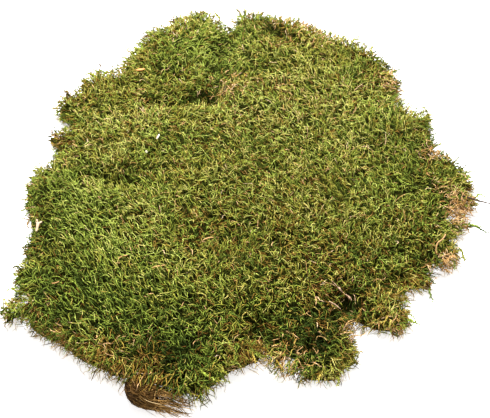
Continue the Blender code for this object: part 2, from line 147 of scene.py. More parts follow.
# Shoots of the sides.
RIM_PITCH = 3.4
RIM_LENGTH = (8.0, 17.0)
RIM_RADIUS = (0.36, 0.62)
RIM_SWAY = 1.6
RIM_TRAILING = 0.35             # the share of long curly ones
RIM_TRAILING_SWAY = 2.2
LIT_RIM = -110                  # the front of the rim, where the shoots get painted light: less layer shade
RIM_LAYERS = (0.4, 0.15)        # the lowest layer there and elsewhere, which sets their painted shade
RIM_ALIVE = 0.9                 # the share that keeps the tone of its place
RIM_DEAD_TONE = 0.75
RIM_TAN = (0.82, 0.93)
RIM_BROWN = (0.58, 0.69)
RIM_DARKEST = (0.08, 0.36)      # painted light: the rim's darkest cool green and its darkest warm one on the ramp
THATCH = (-128, -176, 42)       # where they are brown thatch
THATCH_REACH = 3.0              # and how much further it reaches
# Loose pale curls, most of them dead shoots.
CURLS = 540
CURL_RINGS = 6
CURL_LENGTH = (6.0, 16.0)
CURL_RADIUS = (0.26, 0.5)
CURL_TONES = (0.82, 0.97)
# Fine hairs at the foot of the rim.
HAIRS = 620
HAIR_RINGS = 5
HAIR_LENGTH = (9.0, 24.0)
HAIR_RADIUS = (0.16, 0.32)
HAIR_TONES = (0.80, 0.16)       # mean and spread
DARK_HAIRS = 0.02
# Roots felted together under the sheet.
ROOTS = 1300
ROOT_RINGS = 5
ROOT_LENGTH = (12.0, 34.0)
ROOT_RADIUS = (0.22, 0.5)
ROOT_HEIGHT = (0.5, 2.4)
ROOT_TONES = (0.4, 0.2)
# Leafy sprigs that stick out over the rim: place, heading in degrees, length, tone.
SPRIGS = (
    (-98, 160, 130, 21, 0.16), (-103, 152, 150, 16, 0.45), (-112, 142, 160, 17, 0.43),
    (-133, 110, 150, 15, 0.44), (192, -12, 18, 15, 0.17), (184, -47, -36, 21, 0.08),
    (180, -50, -12, 14, 0.16), (172, -78, -75, 12, 0.45), (144, -104, -84, 20, 0.16),
    (121, -147, -20, 10, 0.17), (-42, -196, -35, 16, 0.2), (60, -198, -80, 10, 0.44),
    (162, 52, 15, 15, 0.45), (-138, 138, 168, 15, 0.16), (-150, 126, 170, 12, 0.44),
    (98, 172, 60, 12, 0.44), (-34, 226, 100, 9, 0.45),
)
MORE_SPRIGS = 110               # and this many shorter ones, most of them in these patches
SPRIG_PATCHES = (
    (-110, 150, 40, 1), (40, 205, 60, 0.6), (150, 100, 60, 1), (190, 0, 40, 1), (170, -80, 40, 1),
    (110, -150, 40, 1), (50, -200, 50, 0.8),
)
SPRIG_LENGTH = (4.0, 11.0)
SPRIG_RINGS = 6
SPRIG_LEAVES = 9
SPRIG_LEAF = (1.8, 3.6)
# the sprigs' layer, which sets their painted shade
SPRIG_LAYER = 0.6
SPRIG_DEPTH = 5.0               # how far inside the rim a sprig is rooted
SPRIG_RADIUS = 0.52
SPRIG_LEAF_RADIUS = 0.40
MARKED_STOUT = 1.7              # the marked sprigs are this much stouter

# The root wad: the course of its middle, its radii, and the strands wound along it.
WAD_PATH = ((-85, -196, 7), (-85.5, -204.5, 9), (-81, -211, 10.2), (-73.5, -214, 10),
            (-65.5, -215, 8.6), (-58, -216.5, 6.4), (-51, -219.5, 4.4), (-44.5, -224, 2.8))
WAD_RADII = (4.8, 8.2, 9.9, 9.9, 8.6, 6.3, 4.1, 2.0)
WAD_STEPS = 64
WAD_STRANDS = 520
WAD_RINGS = 9
WAD_RADIUS = (0.2, 0.42)
WAD_TONES = (0.25, 0.2)
WAD_CORE = 0.82                 # the dark core's share of the radius
WAD_CORE_END = 0.55             # and of the length
WAD_CORE_RINGS = 24
WAD_CORE_SIDES = 12
WAD_LOOSE = 150                 # strands that fan out of its tail
WAD_FAN = (6.0, 20.0)           # and how far they reach
WAD_LOOSE_RADIUS = (0.15, 0.3)
WAD_LOOSE_TONES = (0.62, 0.17)

# The colour ramp of the shoots runs from 0 to 1. Its first stretch holds the cool greens from dark
# to light, the second the warm ones, and the rest the browns and tans.
COOL_END = 0.275
WARM_START = 0.285
WARM_END = 0.56
BROWNS = (0.59, 0.82)
TANS = (0.84, 0.98)
# Near-black and dark brown tones painted on shoots down in the crevices, as shade.
CREVICE_SHADE_TONES = (0.0, 0.06)
CREVICE_SHADE_BROWN = 0.77
GREEN_TONE = 0.475              # the usual green, on a scale that ends at GREEN_TOP
GREEN_TOP = 0.55
GREEN_SPREAD = 0.07
RIM_SHADE = 0.07                # how much darker the greens are at the rim
HOLLOW_SHADE = 0.012            # and for each mm of a hollow
BROWN_SHARE = 0.10
TAN_SHARE = 0.02
# The ramps: place, and the red, green and blue in linear light.
SHOOT_TONES = (
    (0.0, 0.015, 0.028, 0.004), (0.07, 0.057, 0.091, 0.013), (0.14, 0.17, 0.234, 0.032),
    (0.21, 0.375, 0.465, 0.062), (COOL_END, 0.64, 0.69, 0.165), (WARM_START, 0.022, 0.023, 0.003),
    (0.355, 0.08, 0.09, 0.011), (0.425, 0.215, 0.236, 0.03), (0.495, 0.45, 0.44, 0.062),
    (WARM_END, 0.73, 0.65, 0.19), (0.62, 0.52, 0.38, 0.065), (0.7, 0.25, 0.14, 0.022),
    (0.78, 0.16, 0.072, 0.014), (0.86, 0.54, 0.3, 0.08), (0.94, 0.88, 0.55, 0.26),
    (1.0, 0.97, 0.76, 0.5),
)
FIBRE_TONES = (
    (0.0, 0.02, 0.011, 0.005), (0.25, 0.075, 0.036, 0.01), (0.5, 0.2, 0.105, 0.028),
    (0.75, 0.46, 0.27, 0.085), (1.0, 0.72, 0.52, 0.26),
)
# Brightness from base to tip.
SHOOT_ALONG = ((0.0, 0.08), (0.25, 0.30), (0.38, 0.80), (0.45, 0.32), (0.53, 0.95), (0.60, 0.38),
               (0.68, 1.00), (0.75, 0.46), (0.83, 1.00), (0.90, 0.55), (1.00, 1.00))
FIBRE_ALONG = ((0.0, 0.75), (0.5, 1.0), (1.0, 0.9))

# How many of the green shoots are cool: anywhere, and more or fewer of them in patches.
COOL_SHARE = 0.40
COOL_PATCHES = (
    (-145, -60, 60, 0.38), (-100, -140, 55, 0.3), (-175, 0, 35, 0.2), (-60, 160, 50, 0.35),
    (-8, 182, 26, 0.3), (-110, 95, 30, -0.08), (100, 90, 50, 0.12), (140, -20, 45, 0.1),
    (20, -60, 45, -0.08), (70, -95, 40, -0.08), (-40, -165, 35, 0.25), (45, -165, 35, 0.25),
    (40, 140, 40, -0.2), (-140, 50, 30, -0.15), (112, -150, 25, 0.05), (-92, 45, 28, 0.2),
    (-34, 112, 22, 0.3), (-114, -10, 30, -0.2), (-161, -96, 18, -0.2), (-64, -180, 18, 0.25),
    (-30, -175, 22, 0.2), (-108, -165, 20, 0.2), (-150, -148, 22, 0.3), (95, -66, 30, 0.15),
    (12, 2, 40, 0.18), (-45, -125, 45, -0.22), (105, 55, 20, -0.15), (100, -165, 12, 0.25),
    (40, -118, 24, -0.15), (-150, 50, 20, 0.28), (-180, -128, 18, 0.3), (-88, -160, 14, 0.18),
    (-50, -184, 14, 0.2), (-62, 178, 20, 0.15), (150, -62, 22, 0.1), (-104, 78, 22, 0.15),
    (-113, -172, 14, 0.2), (-23, -78, 18, 0.15), (46, -78, 16, 0.15), (138, 20, 20, 0.12),
    (152, -84, 14, 0.2), (57, -175, 14, 0.15), (-83, -172, 16, 0.15), (-58, -187, 20, 0.45),
    (52, -68, 20, 0.12), (34, -177, 18, 0.4), (22, -179, 12, 0.3), (68, -196, 14, -0.4),
    (112, -152, 12, 0.3), (20, -168, 12, 0.2), (-152, -68, 20, 0.15), (12, 96, 20, 0.15),
    (80, -82, 20, 0.1), (115, 98, 14, 0.1), (-150, -150, 14, 0.15),
)
# Patches on top: place, radius, and what they add to the green tone and to the shares of brown
# and tan shoots. Some are the moss's own colour; others are painted shade where the clump lies
# low or turns from the key, and painted light along the front rim that the key leaves in shade.
PATCHES = (
    (-60, 150, 60, -0.08, -0.1),  # saturated green of the left back lobe
    (-70, 175, 30, 0.02), (-115, 150, 22, 0, 0.3, 0.05), (-75, 195, 22, 0.03, 0.22, 0.02),
    (24, 190, 12, -0.28, 0.25, 0.02),  # brown hollow of the back rim, painted darker as shade
    (-8, 182, 26, -0.08, -0.1),
    (55, 75, 75, 0.07, 0, 0.04),  # pale band behind the middle
    (-30, 45, 45, 0.05, 0.02), (62, 190, 24, -0.03, 0.2, 0.16), (-20, 102, 12, 0.02, 0.1, 0.25),
    (-45, 95, 18, -0.02, 0.06),  # bend of the long crease, painted darker as shade
    (-40, 122, 20, 0.05), (-160, 102, 22, 0, 0.15, 0.02), (21, 164, 16, 0, 0.2, 0.02),
    (-135, 50, 45, 0.05, 0.04, 0.03),  # yellowish left side
    (-176, 50, 14, -0.18, 0.45),
    (-180, -30, 24, -0.12, -0.05),  # dark green left rim
    (-176, -75, 24, -0.1), (-166, -136, 20, -0.06, 0.05),
    (-90, -82, 50, 0.08, -0.1),  # bright band of the left front
    (-30, -110, 34, 0.08), (-150, -60, 40, 0.02, -0.12),
    (-145, -112, 42, -0.07, -0.12, -0.02),  # deep green below it
    (-95, -140, 34, -0.09, -0.1, -0.02), (-8, -96, 22, -0.12), (-108, -152, 24, -0.07, -0.05),
    (-115, 15, 22, 0.04), (-2, 152, 16, 0.05, 0.05), (95, -50, 40, 0.025), (162, -13, 18, -0.04),
    (-48, -184, 19, -0.15), (-60, -206, 13, -0.06, -0.15), (62, -192, 14, 0.1),
    (-125, -190, 14, 0.08), (-62, -160, 14, 0.06), (-74, -187, 13, -0.16, 0.1),
    (27, -184, 10, -0.12), (-30, -124, 12, -0.08), (-35, -155, 10, -0.06), (22, 180, 12, -0.1),
    (-95, 84, 20, 0.08), (-150, -125, 30, -0.03), (-32, -72, 18, -0.05, -0.08),
    (45, -172, 12, -0.1), (164, -32, 14, -0.06), (-165, 80, 20, -0.04), (-130, 120, 18, -0.04),
    (-150, -5, 16, -0.05), (-80, -190, 12, 0, 0.15), (77, -125, 12, 0, 0.2),
    (56, -145, 14, 0, 0.15), (-54, -58, 16, 0, 0.12), (-35, -137, 25, 0, 0.08),
    (168, -10, 14, 0.08, 0, 0.1), (24, 168, 12, -0.1), (92, 150, 18, -0.05), (-78, 152, 22, -0.06),
    (76, -104, 16, -0.06), (-79, -72, 18, -0.06), (-32, -117, 16, -0.06),
    (-171, -122, 16, -0.06, -0.1, -0.05), (-105, -180, 14, -0.1), (150, -30, 15, -0.08),
    (105, 118, 30, -0.05), (-178, 42, 16, -0.1), (-31, 148, 14, 0.07), (-98, -155, 10, 0.12),
    (-42, -18, 18, 0.05), (20, 156, 14, 0.04), (66, -196, 14, 0.1, 0.25, 0.02),
    (-62, -180, 16, 0.05, -0.22, -0.02), (-76, -206, 12, -0.2, 0.3, -0.02), (-63, -78, 14, -0.06),
    (0, -75, 14, -0.06), (-28, -100, 14, -0.05), (-37, -50, 12, 0.06), (-38, -197, 10, -0.06, 0.12),
    (74, -161, 10, 0.1), (-151, -161, 12, -0.05), (125, -148, 12, 0.06), (-9, -170, 13, 0, 0.45),
    (-60, -208, 12, 0, 0.15), (-72, -20, 22, 0, 0.1), (-100, -113, 16, 0, 0.1),
    (-160, -98, 12, 0, 0.15), (52, -131, 14, 0, 0.12), (84, -21, 22, -0.14), (40, -2, 20, -0.05),
    (-50, -130, 30, -0.02, -0.1),
    (-45, -75, 26, -0.04, 0.36, 0.03),  # brown band
    (10, -40, 40, 0.02, 0.12), (55, -95, 34, -0.04, 0.25, 0.02),
    (150, 0, 45, -0.05, -0.08),  # painted shade on the right side, away from the key
    (95, 55, 40, 0, -0.08), (60, -30, 40, 0, -0.06), (138, -70, 30, -0.07, 0.1),
    (-50, -160, 46, -0.07, -0.04),  # painted shade on the front over the wad
    (-78, -196, 17, -0.18, 0.5, 0.02), (-20, -204, 19, 0.14), (-30, -196, 11, -0.08),
    (18, -194, 16, 0.1), (78, -186, 12, 0.08), (2, -182, 18, 0.05, 0.4, 0.05),
    (-35, -64, 26, -0.08), (-88, -122, 22, 0.04), (166, -10, 10, 0, 0.1, 0.4), (156, 34, 18, -0.11),
    (116, 140, 22, -0.08), (-172, 105, 16, -0.06),
    (-112, -188, 18, -0.04, 0.32, 0.02),  # orange-brown thick rim
    (-155, -168, 14, -0.02, 0.35, 0.04), (129, -118, 13, 0, 0.5, 0.06), (32, -115, 26, 0, 0.12),
    (48, -165, 36, -0.27, 0.1),  # front lobe: painted shade, and more brown shoots
    (84, -128, 22, -0.06, 0.05), (78, -161, 8, 0, 0.1, 0.6), (82, -180, 12, 0, 0.25, -0.1),
    (106, -140, 22, 0.04, 0.14, 0.02), (179, -36, 12, 0.03, 0.05, 1.1),
    (182, -14, 12, 0.12, 0, 0.1),  # dead patch of the right rim
    (163, -92, 11, 0, 0.05, 0.75), (131, 124, 10, -0.02, 0.12, 0.35), (31, 90, 9, 0.02, 0, 0.1),
    (160, 30, 9, 0, 0.1, 0.35), (-178, -135, 14, 0.02, 0.05, 0.12),
)
# Where the shoots stand higher than the solid: over the twig's inner end.
SWELLS = ((185, -23, 8, 6),)
# Crevices: course, half width, how deep they are and how much darker their shoots are painted, as
# shade.
CREVICES = (
    (((79, -147), (78, -140), (75, -133)), 5.5, 10, 0.8),  # between the front lobes
    (((78, -155), (79, -147)), 5, 1.5, 0.6),
    (((-33, 104), (-42, 94), (-56, 86)), 5, 3, 0.22),  # bend of the long crease
    (((22, 128), (30, 122)), 5, 2, 0.14), (((20, 195), (27, 184)), 6, 3, 0.15),
    (((-120, 2), (-98, -4), (-86, -2)), 4, 2, 0.15),  # grooves of the left side
    (((-137, 28), (-124, 30)), 4, 2, 0.18), (((170, -17), (160, -20)), 4, 2, 0.12),
    (((142, -92), (128, -98), (110, -104)), 7, 1.5, 0.12),
)
# Thin places where the mat is lace: place, radius, and how much of it is missing.
THIN_PLACES = (
    (186, -36, 12, 0.75), (-184, -128, 10, 0.45), (22, -190, 9, 0.5), (163, -92, 7, 0.45),
)
# Where the pale curls lie thickest: place, radius and weight. The rest lie anywhere.
CURL_PATCHES = (
    (181, -36, 12, 11), (163, -92, 10, 3), (77, -163, 9, 2), (25, -190, 12, 3), (-20, 102, 16, 1.5),
    (48, 196, 20, 2), (130, 124, 10, 1.6), (31, 90, 8, 1.5), (158, 32, 10, 1.5),
    (-110, -187, 20, 0.5), (-152, -164, 14, 0.4), (106, -158, 12, 1.5),
)
# And where the hairs do: most of all at the front left.
HAIR_PATCHES = (
    (-110, -185, 40, 5), (-155, -155, 30, 3.5), (-60, -205, 30, 2.5), (20, -195, 30, 2),
    (178, -40, 25, 2), (110, -160, 25, 1.5), (160, -90, 18, 2),
)
# The litter's materials: name, dark and light colour, scale, roughness, stretch, and their nodes.
EVEN = (1, 1, 1)
BUMP = 0.4
BUMP_DEPTH = 0.0006             # in metres
LITTER = (
    ("twig_bark", (0.018, 0.010, 0.007), (0.09, 0.055, 0.035), 900, 0.75, EVEN, ("twig",)),
    ("bark_wood", (0.30, 0.19, 0.12), (0.56, 0.41, 0.29), 700, 0.8, (1, 0.25, 1), ("bark_chip",)),
    ("root_skin", (0.28, 0.15, 0.045), (0.52, 0.33, 0.13), 800, 0.6, EVEN, ("rootlet",)),
    ("stem_skin", (0.24, 0.11, 0.05), (0.80, 0.56, 0.36), 420, 0.6, EVEN,
     ("jointed_stem", "stem_sliver")),
    ("needle_skin", (0.36, 0.18, 0.045), (0.60, 0.35, 0.12), 900, 0.6, EVEN,
     ("needle_a", "needle_b", "needle_c", "needle_d")),
    ("leaf_skin", (0.40, 0.15, 0.03), (0.62, 0.30, 0.08), 600, 0.6, EVEN, ("leaf_flake",)),
    ("husk_skin", (0.50, 0.46, 0.34), (0.76, 0.73, 0.64), 600, 0.6, EVEN, ("husk_a",)),
    ("dull_husk_skin", (0.26, 0.23, 0.14), (0.52, 0.48, 0.36), 900, 0.8, EVEN, ("husk_b",)),
)

random = np.random.default_rng(SEED)


# ---- Array helpers

def unit(vectors):
    """The vectors at length 1."""
    length = np.linalg.norm(vectors, axis=-1, keepdims=True)
    return vectors / np.maximum(length, 1e-9)


def between(low, high, count):
    return random.uniform(low, high, count)


def near(points, x, y, radius):
    """1 at the place, falling off to nothing over about two radii."""
    away = (points[:, 0] - x) ** 2 + (points[:, 1] - y) ** 2
    return np.exp(-away / radius ** 2)


def patched(values, points, table):
    """The values with what each row of a table adds: its place, its radius and how much."""
    for x, y, radius, more in table:
        values = values + more * near(points, x, y, radius)
    return values


def picked(chosen, *arrays):
    """The chosen rows of each array."""
    return [array[chosen] for array in arrays]


def beside(points, course, width):
    """1 on a course of straight stretches, falling off to nothing over about two widths."""
    share = np.zeros(len(points))
    course = np.array(course, float)
    for start, end in zip(course, course[1:]):
        part = np.clip((points[:, :2] - start) @ (end - start) / ((end - start) ** 2).sum(), 0, 1)
        away = points[:, :2] - start - part[:, None] * (end - start)
        share = np.maximum(share, np.exp(-(away ** 2).sum(1) / width ** 2))
    return share


def ripple(points, size, seed):
    """Smooth noise from -1 to 1 over (x, y) places, with bumps about size wide."""
    table = np.random.default_rng(seed).uniform(-1, 1, (64, 64))
    place = points[:, :2] / size + 32 * 64
    cell = np.floor(place).astype(int)
    part = place - cell
    part = part * part * (3 - 2 * part)
    x0, y0 = cell[:, 0] % 64, cell[:, 1] % 64
    x1, y1 = (x0 + 1) % 64, (y0 + 1) % 64
    low = table[x0, y0] * (1 - part[:, 0]) + table[x1, y0] * part[:, 0]
    high = table[x0, y1] * (1 - part[:, 0]) + table[x1, y1] * part[:, 0]
    return low * (1 - part[:, 1]) + high * part[:, 1]


def blurred(values, radius):
    """Gaussian blur of a grid, one axis at a time."""
    reach = int(3 * radius / GRID_STEP)
    steps = np.arange(-reach, reach + 1) * GRID_STEP
    kernel = np.exp(-(steps / radius) ** 2 / 2)
    kernel /= kernel.sum()
    for axis in (0, 1):
        values = np.apply_along_axis(lambda line: np.convolve(line, kernel, "same"), axis, values)
    return values


# ---- The sheet read from the solid: height, slope and distance from the rim at any place

class Sheet:
    """Height field of the solid sheet on a grid."""

    def __init__(self, node):
        low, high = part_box(node)
        pad = 8
        self.origin = np.array([low.x, low.y]) / MM - pad * GRID_STEP
        self.shape = tuple(int(side / MM / GRID_STEP) + 2 * pad + 1 for side in (high - low)[:2])
        height = self.heights(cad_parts[node].data)
        inside = height > 0
        self.height = self.filled(height, inside, SMOOTH_RADIUS)
        self.hollow = self.filled(height, inside, HOLLOW_RADIUS) - self.height
        self.gap = self.distances(inside)
        self.slope = np.stack(np.gradient(blurred(self.height, 4.0), GRID_STEP), axis=-1)
        self.inward = unit(np.stack(np.gradient(blurred(self.gap, 4.0), GRID_STEP), axis=-1))

    def heights(self, mesh):
        """Height of the solid's top at each grid place, 0 beside it."""
        points = [vertex.co / MM for vertex in mesh.vertices]
        solid = BVHTree.FromPolygons(points, [tuple(face.vertices) for face in mesh.polygons])
        down = Vector((0, 0, -1))
        height = np.zeros(self.shape)
        for i, j in np.ndindex(self.shape):
            x, y = self.origin + np.array([i, j]) * GRID_STEP
            hit = solid.ray_cast(Vector((x, y, TOP_OF_SOLID)), down)[0]
            if hit is not None:
                height[i, j] = hit.z
        return height

    @staticmethod
    def filled(height, inside, radius):
        """The height blurred inside the sheet only."""
        weight = blurred(inside.astype(float), radius)
        return np.where(inside, blurred(height, radius) / np.maximum(weight, 1e-3), 0)

    @staticmethod
    def distances(inside):
        """Distance of each grid place from the rim, positive inside."""
        core = (np.roll(inside, 1, 0) & np.roll(inside, -1, 0)
                & np.roll(inside, 1, 1) & np.roll(inside, -1, 1))
        rim = np.argwhere(inside & ~core)
        tree = KDTree(len(rim))
        for index, (i, j) in enumerate(rim):
            tree.insert((i, j, 0), index)
        tree.balance()
        gap = np.zeros(inside.shape)
        for i, j in np.ndindex(inside.shape):
            away = tree.find((i, j, 0))[2] * GRID_STEP
            gap[i, j] = away if inside[i, j] else -away
        return gap

    def sample(self, grid, points):
        """Bilinear reading of a grid at (x, y) places."""
        place = (points[:, :2] - self.origin) / GRID_STEP
        place = np.clip(place, 0, np.array(self.shape) - 1.001)
        cell = place.astype(int)
        part = place - cell
        i, j = cell[:, 0], cell[:, 1]
        u, v = part[:, 0], part[:, 1]
        if grid.ndim == 3:
            u, v = u[:, None], v[:, None]
        low = grid[i, j] * (1 - u) + grid[i + 1, j] * u
        high = grid[i, j + 1] * (1 - u) + grid[i + 1, j + 1] * u
        return low * (1 - v) + high * v

    def normal(self, points):
        """Which way the sheet faces at each place."""
        slope = self.sample(self.slope, points)
        return unit(np.column_stack([-slope, np.ones(len(points))]))

    def outward(self, points):
        """Level direction away from the sheet, for each place."""
        far = self.origin + (np.array(self.shape) - 1) * GRID_STEP
        points = np.clip(points[:, :2], self.origin + GRID_EDGE, far - GRID_EDGE)
        inward = self.sample(self.inward, points)
        return unit(np.column_stack([-inward, np.zeros(len(inward))]))

    def scatter(self, count, low, high, patches=(), anywhere=1.0):
        """Places whose distance from the rim is between low and high, thicker in the patches."""
        size = np.array(self.shape) * GRID_STEP
        places = self.origin + random.random((count * 60, 2)) * size
        gap = self.sample(self.gap, places)
        places = places[(gap > low) & (gap < high)]
        order = np.argsort(random.random(len(places)) / patched(anywhere, places, patches))
        return places[order[:count]]


# ---- Shoots and fibres: bundles of thin closed tubes, all in one mesh

def ring_shares(rings):
    """Where a tube's rings are along it: evenly to TIP_SHARE, and its point at 1."""
    return np.append(np.linspace(0, TIP_SHARE, rings - 1), 1.0)


class Bundle:
    """Collects tubes and turns them into one mesh with the shoot map as its UVs."""

    def __init__(self):
        self.points = []
        self.faces = []
        self.maps = []
        self.count = 0

    def add(self, centres, radii, across, tones, start=0.0, sides=3, flat=0.8):
        """Tubes through centres (n, rings, 3): the tone runs across the map, the share along it."""
        number, rings, _ = centres.shape
        if number == 0:
            return
        centres = centres.copy()
        centres[..., 2] = np.maximum(centres[..., 2], radii + 0.1)
        ahead = unit(np.gradient(centres, axis=1))
        across = across[:, None, :]
        side = unit(across - (across * ahead).sum(-1, keepdims=True) * ahead)
        up = np.cross(ahead, side)
        turn = (np.arange(rings - 1) % 2) * math.pi / sides
        angle = 2 * math.pi * np.arange(sides) / sides + turn[:, None]
        cosine = np.cos(angle)[None, :, :, None]
        sine = np.sin(angle)[None, :, :, None] * flat
        body = centres[:, :-1, None, :] + radii[:, :-1, None, None] * (
            cosine * side[:, :-1, None, :] + sine * up[:, :-1, None, :])
        points = np.concatenate([body.reshape(number, -1, 3), centres[:, -1:, :]], axis=1)
        self.maps.append(self.map_of(number, rings, sides, tones, start))
        base = self.count + np.arange(number)[:, None, None] * points.shape[1]
        self.faces.append((self.tube_faces(rings, sides)[None] + base).reshape(-1, 3))
        self.points.append(points.reshape(-1, 3))
        self.count += number * points.shape[1]

    @staticmethod
    def map_of(number, rings, sides, tones, start):
        """Tone and share along for each vertex, spread a little so that no face is empty there."""
        along = start + (1 - start) * ring_shares(rings)
        spread = (np.arange(sides) - (sides - 1) / 2) * 0.01 / sides
        u = np.broadcast_to(tones[:, None, None] + spread, (number, rings - 1, sides))
        v = np.broadcast_to(along[None, :-1, None] + np.abs(spread), (number, rings - 1, sides))
        u = np.concatenate([u.reshape(number, -1), tones[:, None]], axis=1)
        v = np.concatenate([v.reshape(number, -1), np.full((number, 1), along[-1])], axis=1)
        return np.stack([u, v], axis=-1).reshape(-1, 2)

    @staticmethod
    def tube_faces(rings, sides):
        """Faces of one tube whose rings are turned half a side against each other."""
        faces = [(0, k + 1, k) for k in range(1, sides - 1)]
        for ring in range(rings - 2):
            low, high = ring * sides, (ring + 1) * sides
            for k in range(sides):
                after = (k + 1) % sides
                a, b, c, d = low + k, low + after, high + after, high + k
                faces += [(a, b, c), (a, c, d)] if ring % 2 else [(a, b, d), (b, c, d)]
        last, tip = (rings - 2) * sides, (rings - 1) * sides
        faces += [(last + k, last + (k + 1) % sides, tip) for k in range(sides)]
        return np.array(faces)

    def build(self, name, material, stands_for, mapped=True):
        """Makes the piece, with the shoot map only where its material reads it."""
        points = np.concatenate(self.points)
        faces = np.concatenate(self.faces)
        maps = np.clip(np.concatenate(self.maps), 0.004, 0.996) if mapped else None
        make_piece(name, points, faces, maps, material, stands_for)


def placed(name, data):
    """A new object in the scene."""
    thing = bpy.data.objects.new(name, data)
    bpy.context.scene.collection.objects.link(thing)
    return thing


def make_piece(name, points, faces, maps, material, stands_for):
    """One mesh object from arrays in millimetres, riding on the root body."""
    mesh = bpy.data.meshes.new(name)
    mesh.vertices.add(len(points))
    mesh.vertices.foreach_set("co", (points * MM).astype(np.float32).ravel())
    mesh.loops.add(faces.size)
    mesh.loops.foreach_set("vertex_index", faces.ravel().astype(np.int32))
    mesh.polygons.add(len(faces))
    starts = np.arange(0, faces.size, faces.shape[1], dtype=np.int32)
    mesh.polygons.foreach_set("loop_start", starts)
    mesh.polygons.foreach_set("use_smooth", np.ones(len(faces), bool))
    if maps is not None:
        layer = mesh.uv_layers.new(name="OFBake")
        layer.data.foreach_set("uv", maps[faces.ravel()].astype(np.float32).ravel())
    mesh.update(calc_edges=True)
    mesh.materials.append(material)
    piece = placed(name, mesh)
    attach(piece, "root")
    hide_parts(stands_for)


def curved(base, first, last, length, rings, across, sway=0.6, rise=0.3):
    """Centre lines that set off one way and bend to another, swaying sideways and up and down."""
    count = len(base)
    share = ring_shares(rings)[None, :, None]
    bend = share * share * (3 - 2 * share)
    above = unit(np.cross(last, across))

    def wave(size):
        turns, phase = between(0.6, 1.5, (count, 1, 1)), random.random((count, 1, 1))
        return np.sin(2 * math.pi * (turns * share + phase)) * between(-size, size, (count, 1, 1))

    heading = first[:, None] * (1 - bend) + last[:, None] * bend
    heading = unit(heading + wave(sway) * across[:, None] + wave(rise) * above[:, None])
    step = np.diff(share, axis=1) * length[:, None, None]
    path = np.cumsum(heading[:, :-1] * step, axis=1)
    path = np.concatenate([np.zeros((count, 1, 3)), path], axis=1)
    return base[:, None] + path, heading


def tucked(sheet, centres, allowance):
    """The same courses moved inward where they reach further over the rim than allowed."""
    count, rings, _ = centres.shape
    gap = sheet.sample(sheet.gap, centres.reshape(-1, 3)).reshape(count, rings)
    furthest = np.arange(count), gap.argmin(axis=1)
    excess = np.clip(-np.minimum(allowance, MOST_REACH) - gap[furthest], 0, MOST_TUCK)
    outward = sheet.outward(centres[furthest])
    return centres - (outward * excess[:, None])[:, None]


def shortened(sheet, centres, allowance):
    """The same branches drawn in towards their roots where they reach over the rim."""
    root_gap = sheet.sample(sheet.gap, centres[:, 0])
    tip_gap = sheet.sample(sheet.gap, centres[:, -1])
    keep = (root_gap + allowance) / np.maximum(root_gap - tip_gap, 1e-3)
    keep = np.where(tip_gap < -allowance, np.clip(keep, 0.25, 1), 1.0)
    root = centres[:, :1]
    return root + (centres - root) * keep[:, None, None]


def leafy(radius, rings, swell=LEAF_SWELL):
    """Radii along a shoot that swells from ring to ring as overlapping leaves do."""
    share = ring_shares(rings)
    profile = np.interp(share, (0, 0.25, 0.7, 1), (0.65, 1.0, 0.95, 0.6))
    leaves = 1 + swell * np.where(np.arange(rings) % 2, 1, -1)
    return radius[:, None] * (profile * leaves)[None]


def level(angles):
    """Level unit vectors at angles in radians."""
    return np.column_stack([np.cos(angles), np.sin(angles), np.zeros(len(angles))])


# ---- Colour of each shoot

def crevice_painted_shade(points):
    """How much darker the shoots are painted down in the crevices, as shade."""
    return sum(darker * beside(points, course, width) for course, width, _, darker in CREVICES)


def shoot_tones(sheet, points, layer):
    """A place on the colour ramp for each shoot, from the patches, soft noise and chance.

    The layer runs from 0 for the lowest shoots, which are older and browner and are painted darker
    as shade, to 1.
    """
    count = len(points)
    green = GREEN_TONE + 0.05 * ripple(points, 30, 3) + 0.01 * ripple(points, 9, 4)
    # painted shade: lower shoots and shoots in hollows get darker greens
    green -= LAYER_SHADE * (1 - layer) ** 1.5 + HOLLOW_SHADE * sheet.sample(sheet.hollow, points)
    green -= RIM_SHADE * np.exp(-np.maximum(sheet.sample(sheet.gap, points), 0) / 5.0)
    brown = BROWN_SHARE + 0.08 * (1 - layer) + 0.10 * ripple(points, 22, 5)
    tan = TAN_SHARE + 0.02 * ripple(points, 16, 6)
    # painted shade: greens are darker down in the crevices
    shade_in_crevice = crevice_painted_shade(points)
    green -= shade_in_crevice
    for x, y, radius, *more in PATCHES:
        share = near(points, x, y, radius)
        for value, change in zip((green, brown, tan), more):
            value += share * change
    light = np.clip(green + random.normal(0, GREEN_SPREAD, count), 0.01, GREEN_TOP) / GREEN_TOP
    cool = patched(COOL_SHARE + 0.25 * ripple(points, 18, 7), points, COOL_PATCHES)
    is_cool = random.random(count) < cool
    tones = np.where(is_cool, light * COOL_END, WARM_START + light * (WARM_END - WARM_START))
    chance = random.random(count)
    is_brown = chance < brown
    tones[is_brown] = between(*BROWNS, is_brown.sum())
    is_tan = (chance > 1 - tan) & ~is_brown
    tones[is_tan] = between(*TANS, is_tan.sum())
    # and there some shoots are painted near-black or dark brown, as shade
    is_crevice_shaded = random.random(count) < 2 * shade_in_crevice - 0.3
    is_shaded_brown = random.random(is_crevice_shaded.sum()) < 0.3
    tones[is_crevice_shaded] = np.where(is_shaded_brown, CREVICE_SHADE_BROWN, between(*CREVICE_SHADE_TONES, is_crevice_shaded.sum()))
    return tones


# ---- Materials

def plain_material(name, roughness, specular):
    material = bpy.data.materials.new(name)
    material.use_nodes = True
    shader = material.node_tree.nodes["Principled BSDF"]
    shader.inputs["Roughness"].default_value = roughness
    shader.inputs["Specular IOR Level"].default_value = specular
    return material, material.node_tree, shader


def new_node(tree, kind, **values):
    """A new node with the values on its sockets."""
    node = tree.nodes.new(kind)
    for name, value in values.items():
        node.inputs[name].default_value = value
    return node


